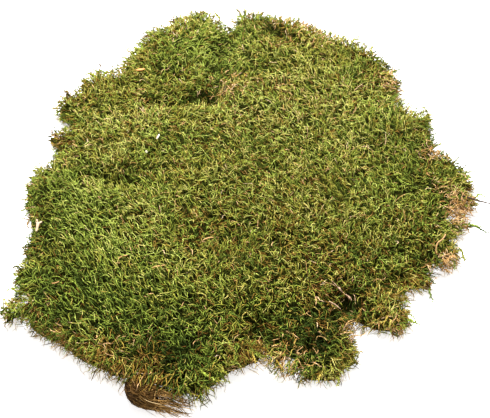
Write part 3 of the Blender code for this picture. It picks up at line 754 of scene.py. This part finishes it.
def ramp_node(tree, stops):
    """A colour ramp from (place, red, green, blue) or (place, grey) stops."""
    node = new_node(tree, "ShaderNodeValToRGB")
    elements = node.color_ramp.elements
    while len(elements) > 1:
        elements.remove(elements[-1])
    for index, (place, *colour) in enumerate(stops):
        element = elements[0] if index == 0 else elements.new(place)
        element.position = place
        element.color = (*(colour * 3)[:3], 1.0)
    return node


def mapped_material(name, tones, along, roughness, specular):
    """Colour from the shoot map alone: tone across it, base to tip along it."""
    material, tree, shader = plain_material(name, roughness, specular)
    link = tree.links.new
    chart = new_node(tree, "ShaderNodeUVMap")
    chart.uv_map = "OFBake"
    split = new_node(tree, "ShaderNodeSeparateXYZ")
    link(chart.outputs["UV"], split.inputs[0])
    tone = ramp_node(tree, tones)
    shade = ramp_node(tree, along)
    link(split.outputs["X"], tone.inputs["Fac"])
    link(split.outputs["Y"], shade.inputs["Fac"])
    mix = new_node(tree, "ShaderNodeMix", Factor=1.0)
    mix.data_type = "RGBA"
    mix.blend_type = "MULTIPLY"
    link(tone.outputs["Color"], mix.inputs["A"])
    link(shade.outputs["Color"], mix.inputs["B"])
    link(mix.outputs["Result"], shader.inputs["Base Color"])
    return material


def mottled_material(name, dark, light, scale, roughness, stretch=EVEN, specular=0.25):
    """Two colours mixed by noise in object space, with a fine bump."""
    material, tree, shader = plain_material(name, roughness, specular)
    link = tree.links.new
    place = new_node(tree, "ShaderNodeTexCoord")
    grain = new_node(tree, "ShaderNodeMapping", Scale=stretch)
    speckle = new_node(tree, "ShaderNodeTexNoise", Scale=scale, Detail=6.0, Roughness=0.65)
    link(place.outputs["Object"], grain.inputs["Vector"])
    link(grain.outputs["Vector"], speckle.inputs["Vector"])
    ramp = ramp_node(tree, [(0.35, *dark), (0.65, *light)])
    link(speckle.outputs["Fac"], ramp.inputs["Fac"])
    link(ramp.outputs["Color"], shader.inputs["Base Color"])
    relief = new_node(tree, "ShaderNodeBump", Strength=BUMP, Distance=BUMP_DEPTH)
    link(speckle.outputs["Fac"], relief.inputs["Height"])
    link(relief.outputs["Normal"], shader.inputs["Normal"])
    return material


# ---- Moss

def combed(points):
    """Which way the shoots are combed, as level vectors that are longer where more of them are."""
    field = np.zeros((len(points), 2))
    for x, y, radius, heading, strength in FLOWS:
        way = (math.cos(math.radians(heading)), math.sin(math.radians(heading)))
        field += near(points, x, y, radius)[:, None] * strength * np.array(way)
    return field


def lie_directions(sheet, points, normal, way):
    """Where each shoot's tip points: a soft field with chance, and outward near the rim.

    The way is 1 for shoots combed forward and -1 for those combed back.
    """
    count = len(points)
    field = np.column_stack([ripple(points, 26, 11), ripple(points, 26, 12)])
    field = unit(field) * 0.5 + combed(points) * way[:, None]
    field += level(between(0, 2 * math.pi, count))[:, :2] * (0.75, 1.25)
    gap = sheet.sample(sheet.gap, points)
    field += sheet.outward(points)[:, :2] * np.exp(-np.maximum(gap, 0) / 9.0)[:, None] * 1.2
    lie = np.column_stack([unit(field), np.zeros(count)])
    lie -= (lie * normal).sum(1, keepdims=True) * normal
    return unit(lie)


def honeycomb_places(sheet, pitch):
    """Jittered honeycomb places over the sheet."""
    low = sheet.origin
    high = sheet.origin + np.array(sheet.shape) * GRID_STEP
    rows = np.arange(low[1], high[1], pitch * math.sqrt(0.75))
    columns = np.arange(low[0], high[0], pitch)
    x, y = np.meshgrid(columns, rows)
    x = x + (np.arange(len(rows)) % 2)[:, None] * pitch / 2
    points = np.column_stack([x.ravel(), y.ravel()])
    points += between(-0.5 * pitch, 0.5 * pitch, points.shape)
    open_pit = ripple(points, PIT_SIZE, 23) < PIT_SHARE + patched(0, points, THIN_PLACES)
    return points[(sheet.sample(sheet.gap, points) > 1.0) & ~open_pit]


def varied(tones, spread):
    """The same tones a little lighter or darker, each within its own stretch of the ramp."""
    stretches = [tones <= COOL_END, tones <= WARM_END]
    low = np.select(stretches, [0.005, WARM_START], WARM_END + 0.02)
    high = np.select(stretches, [COOL_END, WARM_END], 0.995)
    return np.clip(tones + random.normal(0, spread, len(tones)), low, high)


def branch_tones(tones):
    """A branch mostly shares its shoot's tone, but some of them are dead."""
    count = len(tones)
    shade = varied(tones, 0.05)
    chance = random.random(count)
    green = tones < 0.6
    brown = green & (chance < BROWN_BRANCHES)
    shade[brown] = between(*BROWN_BRANCH, brown.sum())
    pale = green & (chance > 1 - PALE_BRANCHES)
    shade[pale] = between(*PALE_BRANCH, pale.sum())
    alive = ~green & (chance < GREEN_BRANCHES)
    shade[alive] = between(*GREEN_BRANCH, alive.sum())
    return shade


def rim_clumps(points):
    """How much further over the rim the shoots reach, clump by clump; below 0 they stay back."""
    return patched(CLUMP * (ripple(points, 7, 41) + 0.6 * ripple(points, 3.5, 42)), points, REACHES)


def widths(points):
    """How wide the shoots are at each place, as a share of their usual width."""
    return 1 + patched(0, points, WIDE_SHOOTS)


def grow_shoots(sheet, bundle, base, first, lie, normal, length, tones, radius, sway):
    """Shoots with side branches: each sets off along first and comes to lie along lie."""
    count = len(base)
    across = unit(np.cross(normal, lie))
    centres, heading = curved(base, first, lie, length, SHOOT_RINGS, across, sway, rise=0.6)
    allowance = random.exponential(OVERHANG, count) + rim_clumps(base)
    centres = tucked(sheet, centres, allowance)
    bundle.add(centres, leafy(radius, SHOOT_RINGS), across, tones)
    side = np.where(random.random((count, 1)) < 0.5, 1.0, -1.0)
    ahead = heading[:, FORK_RING]
    first_way = ahead * 0.7 + side * across * between(*BRANCH_SPREAD, (count, 1)) + normal * 0.1
    last_way = ahead + side * across * between(0.0, 1.2, (count, 1)) - normal * 0.1
    path, _ = curved(centres[:, FORK_RING], unit(first_way), unit(last_way),
                     between(*BRANCH_LENGTH, count), BRANCH_RINGS, across)
    path = shortened(sheet, path, allowance)
    bundle.add(path, leafy(radius * BRANCH_WIDTH, BRANCH_RINGS), across, branch_tones(tones),
               start=0.45)


def trail_shoots(sheet, bundle, base, first, lie, normal, length, tones, sway):
    """Long thin curly shoots without branches."""
    count = len(base)
    across = unit(np.cross(normal, lie))
    centres, _ = curved(base, first, lie, length, TRAILING_RINGS, across, sway, rise=0.7)
    centres = tucked(sheet, centres, random.exponential(OVERHANG, count) + rim_clumps(base))
    radius = between(*TRAILING_RADIUS, count) * widths(base)
    bundle.add(centres, leafy(radius, TRAILING_RINGS, TRAILING_SWELL), across, tones, start=0.12)


def moss_top(sheet, material):
    """The shoots of the sheet's top, in a middle piece and four outer ones."""
    places = honeycomb_places(sheet, SHOOT_PITCH)
    count = len(places)
    normal = sheet.normal(places)
    way = np.where(random.random(count) < 0.5, 1.0, -1.0)
    lie = lie_directions(sheet, places, normal, way)
    order = np.clip(np.linalg.norm(combed(places), axis=1), 0, 1.5)
    loose = (1 - 0.4 * order)[:, None, None]
    layer = random.random(count)
    tuft = 0.3 * ripple(places, 7, 21) + 1.2 * ripple(places, 15, 22)
    height = sheet.sample(sheet.height, places) + tuft + LAYER_DEPTH * (layer - 0.72)
    height -= np.clip(sheet.sample(sheet.hollow, places), 0, 4) * 0.6
    height = patched(height, places, SWELLS)
    for course, width, deep, _ in CREVICES:
        height -= deep * beside(places, course, width)
    depth = np.minimum(SHOOT_DEPTH, height * 0.5)
    tip = np.column_stack([places, height])
    base = tip - normal * depth[:, None] - lie * between(2.0, 5.5, (count, 1))
    base[:, 2] = np.maximum(base[:, 2], 1.0)
    first = unit(normal + lie * between(0.3, 1.2, (count, 1)))
    random.random(count)        # not used, but it keeps the later draws as they are
    length = between(*SHOOT_LENGTH, count) * patched(1, places, LONG_SHOOTS)
    length *= np.clip(depth / SHOOT_DEPTH, 0.5, 1)
    radius = between(*SHOOT_RADIUS, count) * widths(places)
    tones = shoot_tones(sheet, places, layer)
    trailing = random.random(count) < patched(TRAILING_SHARE, places, TRAILING_PATCHES)
    trail_length = between(*TRAILING_LENGTH, count) * np.clip(depth / SHOOT_DEPTH, 0.6, 1)

    middle = np.linalg.norm(places / (205, 225), axis=1)
    compass = np.arctan2(places[:, 1], places[:, 0])
    inner = middle < np.quantile(middle, 0.22)
    groups = {"moss_shoots_middle": inner}
    quarter = np.searchsorted(np.quantile(compass[~inner], (0.25, 0.5, 0.75)), compass)
    for index, side in enumerate(("front_left", "front_right", "back_right", "back_left")):
        groups[f"moss_shoots_{side}"] = ~inner & (quarter == index)
    for name, chosen in groups.items():
        bundle = Bundle()
        grow_shoots(sheet, bundle, *picked(chosen & ~trailing, base, first, lie, normal, length,
                                           tones, radius, SHOOT_SWAY * loose))
        trail_shoots(sheet, bundle, *picked(chosen & trailing, base, first, lie, normal,
                                            trail_length, tones, TRAILING_SWAY * loose))
        bundle.build(name, material, "moss_mat")


def rim_places(sheet, pitch):
    """Places on the sheet's side: (x, y) near the rim and a share of the local height."""
    edge = np.argwhere((sheet.gap > 1.5) & (sheet.gap < 1.5 + GRID_STEP * 1.2))
    points = sheet.origin + edge * GRID_STEP
    tall = sheet.sample(sheet.height, points)
    layers = np.maximum(1, np.round(tall * GRID_STEP / pitch ** 2 * 1.1)).astype(int)
    points = np.repeat(points, layers, axis=0)
    points = points + between(-GRID_STEP, GRID_STEP, points.shape)
    return points, random.random(len(points))


def moss_rim(sheet, material):
    """The shoots of the sides: they point out and droop, greener above and browner below."""
    places, share = rim_places(sheet, RIM_PITCH)
    count = len(places)
    outward = sheet.outward(places)
    top = sheet.sample(sheet.height, places)
    height = 1.2 + share * (top - 1.5)
    along_rim = np.cross(outward, (0, 0, 1))
    thatch = near(places, *THATCH)
    reach = np.clip(rim_clumps(places) + THATCH_REACH * thatch, 0, 16)
    drift = random.normal(0, 1.1, (count, 1)) / (1 + 0.2 * reach[:, None])
    droop = np.column_stack([np.zeros((count, 2)), share - 0.85]) * 0.9
    lie = unit(outward + along_rim * drift + droop)
    base = np.column_stack([places, height]) - outward * between(4.0, 8.0, (count, 1))
    first = unit(outward + np.array((0, 0, 0.35)))
    normal = unit(outward + np.array((0, 0, 0.6)))
    length = between(*RIM_LENGTH, count) + 1.1 * reach
    # Painted light: rim shoots get less layer shade at the front and are kept from the darkest
    # tones.
    lit = np.where(places[:, 1] < LIT_RIM, *RIM_LAYERS)
    tones = shoot_tones(sheet, places, np.minimum(lit + 0.8 * random.random(count), 1))
    tones = np.maximum(tones, np.where(tones <= COOL_END, *RIM_DARKEST))
    tones = np.where(random.random(count) < RIM_ALIVE, tones, RIM_DEAD_TONE)
    browner = random.random(count) < (0.65 - share) * 0.9 - 2 * crevice_painted_shade(places) + 0.3 * thatch
    warm = random.random(count) < 0.4 - 0.2 * thatch
    tones[browner & warm] = between(*RIM_TAN, (browner & warm).sum())
    tones[browner & ~warm] = between(*RIM_BROWN, (browner & ~warm).sum())
    radius = between(*RIM_RADIUS, count) * np.where(browner, 0.8, 1.0)
    bundle = Bundle()
    trailing = random.random(count) < RIM_TRAILING
    grow_shoots(sheet, bundle, *picked(~trailing, base, first, lie, normal, length, tones, radius),
                RIM_SWAY)
    trail_shoots(sheet, bundle, *picked(trailing, base, first, lie, normal, length, tones),
                 RIM_TRAILING_SWAY)
    bundle.build("moss_shoots_rim", material, "moss_mat")


def pale_curls(sheet, bundle):
    """Pale dead shoots, thin and curly, lying on the others."""
    places = sheet.scatter(CURLS, -1.0, 300.0, CURL_PATCHES, anywhere=0.004)
    count = len(places)
    normal = sheet.normal(places)
    height = sheet.sample(sheet.height, places) * between(0.5, 1.0, count) + 0.5
    lie = level(between(0, 2 * math.pi, count)) * 0.8 + sheet.outward(places) * 0.2
    lie = unit(lie + normal * between(-0.2, 0.5, (count, 1)))
    across = unit(np.cross(normal, lie))
    length = between(*CURL_LENGTH, count)
    base = np.column_stack([places, height]) - lie * length[:, None] * 0.5
    centres, _ = curved(base, unit(lie + normal * 0.3), lie, length, CURL_RINGS, across,
                        sway=2.4, rise=0.9)
    centres = tucked(sheet, centres, random.exponential(2.5, count))
    bundle.add(centres, leafy(between(*CURL_RADIUS, count), CURL_RINGS, 0.1), across,
               between(*CURL_TONES, count), start=0.5)


def leafy_sprigs(sheet, bundle):
    """Shoots with their leaves spread that stick out over the rim: marked and shorter ones."""
    marked = np.array([(x, y, math.radians(heading), size, tone)
                       for x, y, heading, size, tone in SPRIGS])
    places = sheet.scatter(MORE_SPRIGS, 0.5, 3.0, SPRIG_PATCHES, anywhere=0.08)
    count = len(places)
    outward = sheet.outward(places)
    heading = np.arctan2(outward[:, 1], outward[:, 0]) + random.normal(0, 0.6, count)
    tones = np.clip(shoot_tones(sheet, places, SPRIG_LAYER), 0.08, 0.96)
    more = np.column_stack([places, heading, between(*SPRIG_LENGTH, count), tones])
    sprigs = np.vstack([marked, more])

    places, heading, size, tones = sprigs[:, :2], sprigs[:, 2], sprigs[:, 3], sprigs[:, 4]
    count = len(sprigs)
    ahead = level(heading)
    rim = np.maximum(sheet.sample(sheet.height, places), 6.0) * between(0.45, 0.95, count)
    base = np.column_stack([places, rim]) - ahead * SPRIG_DEPTH
    across = unit(np.cross((0, 0, 1.0), ahead))
    lift = between(0.0, 0.5, (count, 1)) * (0, 0, 1.0)
    centres, way = curved(base, unit(ahead + lift), unit(ahead + lift - (0, 0, 0.5)),
                          size + SPRIG_DEPTH, SPRIG_RINGS, across, sway=0.8)
    stout = np.where(np.arange(count) < len(SPRIGS), MARKED_STOUT, 1.0)
    bundle.add(centres, leafy(SPRIG_RADIUS * stout, SPRIG_RINGS, 0.05), across, tones, start=0.2)
    for index, spot in enumerate(np.linspace(1.2, SPRIG_RINGS - 1.05, SPRIG_LEAVES)):
        low, part = int(spot), spot % 1
        roots = centres[:, low] * (1 - part) + centres[:, low + 1] * part
        side = 1.0 if index % 2 else -1.0
        leaf_way = unit(way[:, low] + side * across * between(0.5, 1.1, (count, 1))
                        + between(-0.3, 0.3, (count, 3)))
        length = between(*SPRIG_LEAF, count) * (1.1 - 0.5 * index / SPRIG_LEAVES)
        paths, _ = curved(roots, leaf_way, leaf_way, length, 4, across, sway=0.4)
        bundle.add(paths, leafy(SPRIG_LEAF_RADIUS * stout, 4, 0.1), across, varied(tones, 0.03),
                   start=0.5)


def loose_shoots(sheet, material):
    """What lies loose on the sheet or sticks out of its rim."""
    bundle = Bundle()
    pale_curls(sheet, bundle)
    leafy_sprigs(sheet, bundle)
    bundle.build("loose_shoots", material, "moss_mat")


def rim_hairs(sheet, material):
    """Fine brown hairs that hang out of the rim's foot and trail on the floor."""
    places = sheet.scatter(HAIRS, 0.0, 4.0, HAIR_PATCHES, anywhere=0.08)
    count = len(places)
    outward = sheet.outward(places)
    top = sheet.sample(sheet.height, places)
    base = np.column_stack([places, 0.8 + random.random(count) * np.minimum(top * 0.6, 12)])
    base -= outward * 3.0
    along_rim = np.cross(outward, (0, 0, 1))
    first = unit(outward + along_rim * between(-0.8, 0.8, (count, 1)) + np.array((0, 0, 0.15)))
    last = unit(outward * 0.8 + along_rim * between(-1.0, 1.0, (count, 1)) + np.array((0, 0, -0.9)))
    length = between(*HAIR_LENGTH, count)
    across = unit(np.cross((0, 0, 1), outward))
    centres, _ = curved(base, first, last, length, HAIR_RINGS, across, sway=1.5, rise=0.8)
    centres = tucked(sheet, centres, np.minimum(random.exponential(3.5, count), HAIR_REACH))
    radii = leafy(between(*HAIR_RADIUS, count), HAIR_RINGS, 0.0)
    is_dark = random.random(count) < DARK_HAIRS
    tones = np.where(is_dark, 0.1, np.clip(random.normal(*HAIR_TONES, count), 0.1, 0.98))
    bundle = Bundle()
    bundle.add(centres, radii, across, tones)
    bundle.build("rim_hairs", material, "moss_mat")


def underside_roots(sheet, material):
    """Brown roots felted together under the sheet."""
    places = sheet.scatter(ROOTS, 7.0, 300.0)
    count = len(places)
    base = np.column_stack([places, between(*ROOT_HEIGHT, count)])
    way = level(between(0, 2 * math.pi, count))
    turned = level(np.arctan2(way[:, 1], way[:, 0]) + between(-1.0, 1.0, count))
    length = np.minimum(between(*ROOT_LENGTH, count), sheet.sample(sheet.gap, places) * 1.6)
    across = unit(np.cross((0, 0, 1.0), way))
    centres, _ = curved(base, way, turned, length, ROOT_RINGS, across, sway=0.8, rise=0)
    centres[..., 2] += between(-0.3, 0.3, centres[..., 2].shape)
    bundle = Bundle()
    bundle.add(centres, leafy(between(*ROOT_RADIUS, count), ROOT_RINGS, 0.0), across,
               np.clip(random.normal(*ROOT_TONES, count), 0.02, 0.98))
    bundle.build("underside_roots", material, "moss_mat")


def inner_mass(sheet, material):
    """The felted mass below the shoots, near-black as painted shade: the solid's own mesh drawn in
    on all sides.
    """
    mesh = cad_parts["moss_mat"].data
    raw = np.array([vertex.co for vertex in mesh.vertices]) / MM
    mesh.calc_loop_triangles()
    triangles = np.array([triangle.vertices for triangle in mesh.loop_triangles])
    _, first_of, merged = np.unique(np.round(raw, 3), axis=0, return_index=True,
                                    return_inverse=True)
    points = raw[first_of]
    triangles = merged.ravel()[triangles]
    gap = sheet.sample(sheet.gap, points)
    inward = -sheet.outward(points)
    room = sheet.sample(sheet.gap, points + inward * FELT_ROOM) - gap
    inset = np.clip(room, 0, FELT_ROOM) * FELT_INSET * np.exp(-np.maximum(gap, 0) / 6.0)
    for x, y, radius, _ in THIN_PLACES:
        inset += THIN_INSET * near(points, x, y, radius * 1.4)
    smooth = sheet.sample(sheet.height, points)
    upper = points[:, 2] > 0.5
    drawn = points + inward * inset[:, None]
    sunk = np.minimum(points[:, 2], smooth) - FELT_DEPTH + 1.2 * ripple(points, 6, 31)
    sunk -= 0.6 * np.clip(sheet.sample(sheet.hollow, points), 0, 4)
    least = np.minimum(points[:, 2] * 0.35 + 1.5, 6.0)
    drawn[:, 2] = np.where(upper, np.maximum(sunk, least), FELT_LOWEST)
    make_piece("moss_shade_felt", drawn, triangles, None, material, "moss_mat")


# ---- The root wad

class WadCourse:
    """The wad's middle line with its radius and two directions across it."""

    def __init__(self):
        share = np.linspace(0, 1, WAD_STEPS)
        at = np.linspace(0, 1, len(WAD_PATH))
        path = np.array(WAD_PATH, float)
        self.line = np.column_stack([np.interp(share, at, path[:, k]) for k in range(3)])
        for _ in range(6):
            self.line[1:-1] = (self.line[:-2] + 2 * self.line[1:-1] + self.line[2:]) / 4
        self.radius = np.interp(share, at, WAD_RADII)
        low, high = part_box("root_wad")
        middle = np.array([low.x + high.x, low.y + high.y]) / MM / 2
        reach = self.radius[:, None]
        own = ((self.line[:, :2] - reach).min(0) + (self.line[:, :2] + reach).max(0)) / 2
        self.line[:, :2] += middle - own
        self.ahead = unit(np.gradient(self.line, axis=0))
        self.side = unit(np.cross(self.ahead, (0, 0, 1.0)))
        self.up = np.cross(self.side, self.ahead)

    def at(self, share, values):
        """Values read at shares of the course, held at its ends."""
        place = np.clip(share, 0, 1) * (WAD_STEPS - 1)
        low = np.minimum(place.astype(int), WAD_STEPS - 2)
        part = place - low
        if values.ndim == 2:
            part = part[..., None]
        return values[low] * (1 - part) + values[low + 1] * part

    def points(self, share, angle, depth):
        """Points round the course: angle turns about it, and depth is a share of the radius."""
        radius = (self.at(share, self.radius) * depth)[..., None]
        round_it = (np.cos(angle)[..., None] * self.at(share, self.side)
                    + np.sin(angle)[..., None] * self.at(share, self.up))
        return self.at(share, self.line) + radius * round_it


def root_wad(material, core_material):
    """A curled lock of roots: strands wound along a dark core, fanning out of its tail."""
    course = WadCourse()
    share = np.linspace(0, WAD_CORE_END, WAD_CORE_RINGS)[None]
    core = Bundle()
    core.add(course.at(share, course.line), course.at(share, course.radius) * WAD_CORE,
             course.side[:1], np.zeros(1), sides=WAD_CORE_SIDES, flat=1.0)
    core.build("root_wad_core", core_material, "root_wad", mapped=False)

    bundle = Bundle()
    count = WAD_STRANDS
    start = between(-0.15, 0.50, count)
    span = between(0.2, 0.55, count)
    steps = ring_shares(WAD_RINGS)
    furthest = np.where(random.random(count) < 0.06, 1.0, between(0.45, 0.75, count))
    share = np.clip(start[:, None] + span[:, None] * steps, 0, furthest[:, None])
    angle = between(0, 2 * math.pi, count)[:, None] + between(-1.1, 1.8, count)[:, None] * steps
    turns = steps * between(1, 2.5, (count, 1)) + random.random((count, 1))
    angle = angle + 0.12 * np.sin(2 * math.pi * turns)
    depth = between(0.86, 1.0, count)[:, None] + 0.03 * np.sin(2 * math.pi * steps * 2 + angle)
    centres = course.points(share, angle, depth)
    centres += between(-0.15, 0.15, centres.shape)
    across = unit(np.cross(centres[:, -1] - centres[:, 0], (0.3, 0.2, 1.0)))
    # Painted shade: strands near the wad's start, under the moss, are darker, lightening towards
    # its tail.
    tones = np.clip(random.normal(*WAD_TONES, count) + 0.7 * (start + span / 2 - 0.3), 0.02, 0.98)
    bundle.add(centres, leafy(between(*WAD_RADIUS, count), WAD_RINGS, 0.0), across, tones)

    count = WAD_LOOSE
    start = between(0.30, 0.75, count)
    angle = between(0, 2 * math.pi, count)
    base = course.points(start, angle, np.full(count, 0.8))
    tail = np.repeat(course.ahead[-1:], count, axis=0)
    spread = level(np.arctan2(tail[:, 1], tail[:, 0]) + random.normal(0.45, 0.35, count))
    size = between(*WAD_FAN, count) + (1 - start) * 12
    across = unit(np.cross((0, 0, 1.0), spread))
    centres, _ = curved(base, unit(course.at(start, course.ahead) + tail * 0.3),
                        unit(spread + (0, 0, -0.12)), size, WAD_RINGS, across, sway=0.35, rise=0.12)
    bundle.add(centres, leafy(between(*WAD_LOOSE_RADIUS, count), WAD_RINGS, 0.0), across,
               np.clip(random.normal(*WAD_LOOSE_TONES, count), 0.1, 0.98))
    bundle.build("root_wad_strands", material, "root_wad")


# ---- Litter, floor, light and camera

def dress_litter():
    """Materials for the litter, whose solids stay as they are."""
    for name, dark, light, scale, roughness, stretch, nodes in LITTER:
        material = mottled_material(name, dark, light, scale, roughness, stretch=stretch)
        for node in nodes:
            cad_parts[node].material_slots[0].material = material


def floor_and_light():
    """A softly lit white table, a big soft key high at the back, and a white world."""
    mesh = bpy.data.meshes.new("floor")
    corners = [(x * FLOOR_HALF, y * FLOOR_HALF, 0) for x, y in ((-1, -1), (1, -1), (1, 1), (-1, 1))]
    mesh.from_pydata(corners, [], [(0, 1, 2, 3)])
    floor = placed("floor", mesh)
    material, _, shader = plain_material("paper_white", 0.9, 0.1)
    shader.inputs["Base Color"].default_value = (0.95, 0.95, 0.95, 1)
    shader.inputs["Emission Color"].default_value = (1, 1, 1, 1)
    shader.inputs["Emission Strength"].default_value = FLOOR_GLOW
    mesh.materials.append(material)

    world = bpy.data.worlds.new("studio")
    world.use_nodes = True
    background = world.node_tree.nodes["Background"]
    background.inputs["Color"].default_value = (1, 1, 1, 1)
    background.inputs["Strength"].default_value = WORLD_STRENGTH
    bpy.context.scene.world = world

    light = bpy.data.lights.new("key", "AREA")
    light.shape = "DISK"
    light.size = KEY_SIZE
    light.energy = KEY_POWER
    lamp = placed("key", light)
    lamp.location = KEY_PLACE
    lamp.rotation_euler = (-Vector(KEY_PLACE)).to_track_quat("-Z", "Y").to_euler()


def photo_camera():
    """The camera at the photograph's distance, height and field of view."""
    data = bpy.data.cameras.new("photo")
    data.sensor_width = SENSOR_WIDTH
    data.lens = FOCAL_PIXELS / PHOTO_WIDTH * SENSOR_WIDTH
    camera = placed("photo", data)
    tilt = math.radians(CAMERA_ELEVATION)
    back = Vector((0, -math.cos(tilt), math.sin(tilt)))
    camera.location = Vector(CAMERA_FOCUS) + CAMERA_DISTANCE * back
    camera.rotation_euler = (math.radians(90 - CAMERA_ELEVATION), 0, 0)
    bpy.context.scene.camera = camera


def main():
    bpy.context.scene.view_settings.view_transform = "Standard"
    sheet = Sheet("moss_mat")
    shoots = mapped_material("moss_shoot", SHOOT_TONES, SHOOT_ALONG, 0.75, 0.04)
    fibres = mapped_material("root_fibre", FIBRE_TONES, FIBRE_ALONG, 0.7, 0.04)
    # The felt's near-black colours are painted shade for the gaps between the shoots.
    shade_felt = mottled_material("shade_felt", (0.009, 0.010, 0.002), (0.032, 0.036, 0.006), 240, 1.0,
                            specular=0.0)
    moss_top(sheet, shoots)
    moss_rim(sheet, shoots)
    inner_mass(sheet, shade_felt)
    loose_shoots(sheet, shoots)
    rim_hairs(sheet, fibres)
    underside_roots(sheet, fibres)
    core = mottled_material("wad_core", (0.010, 0.006, 0.003), (0.045, 0.022, 0.009), 500, 1.0,
                            specular=0.0)
    root_wad(fibres, core)
    dress_litter()
    floor_and_light()
    photo_camera()


main()
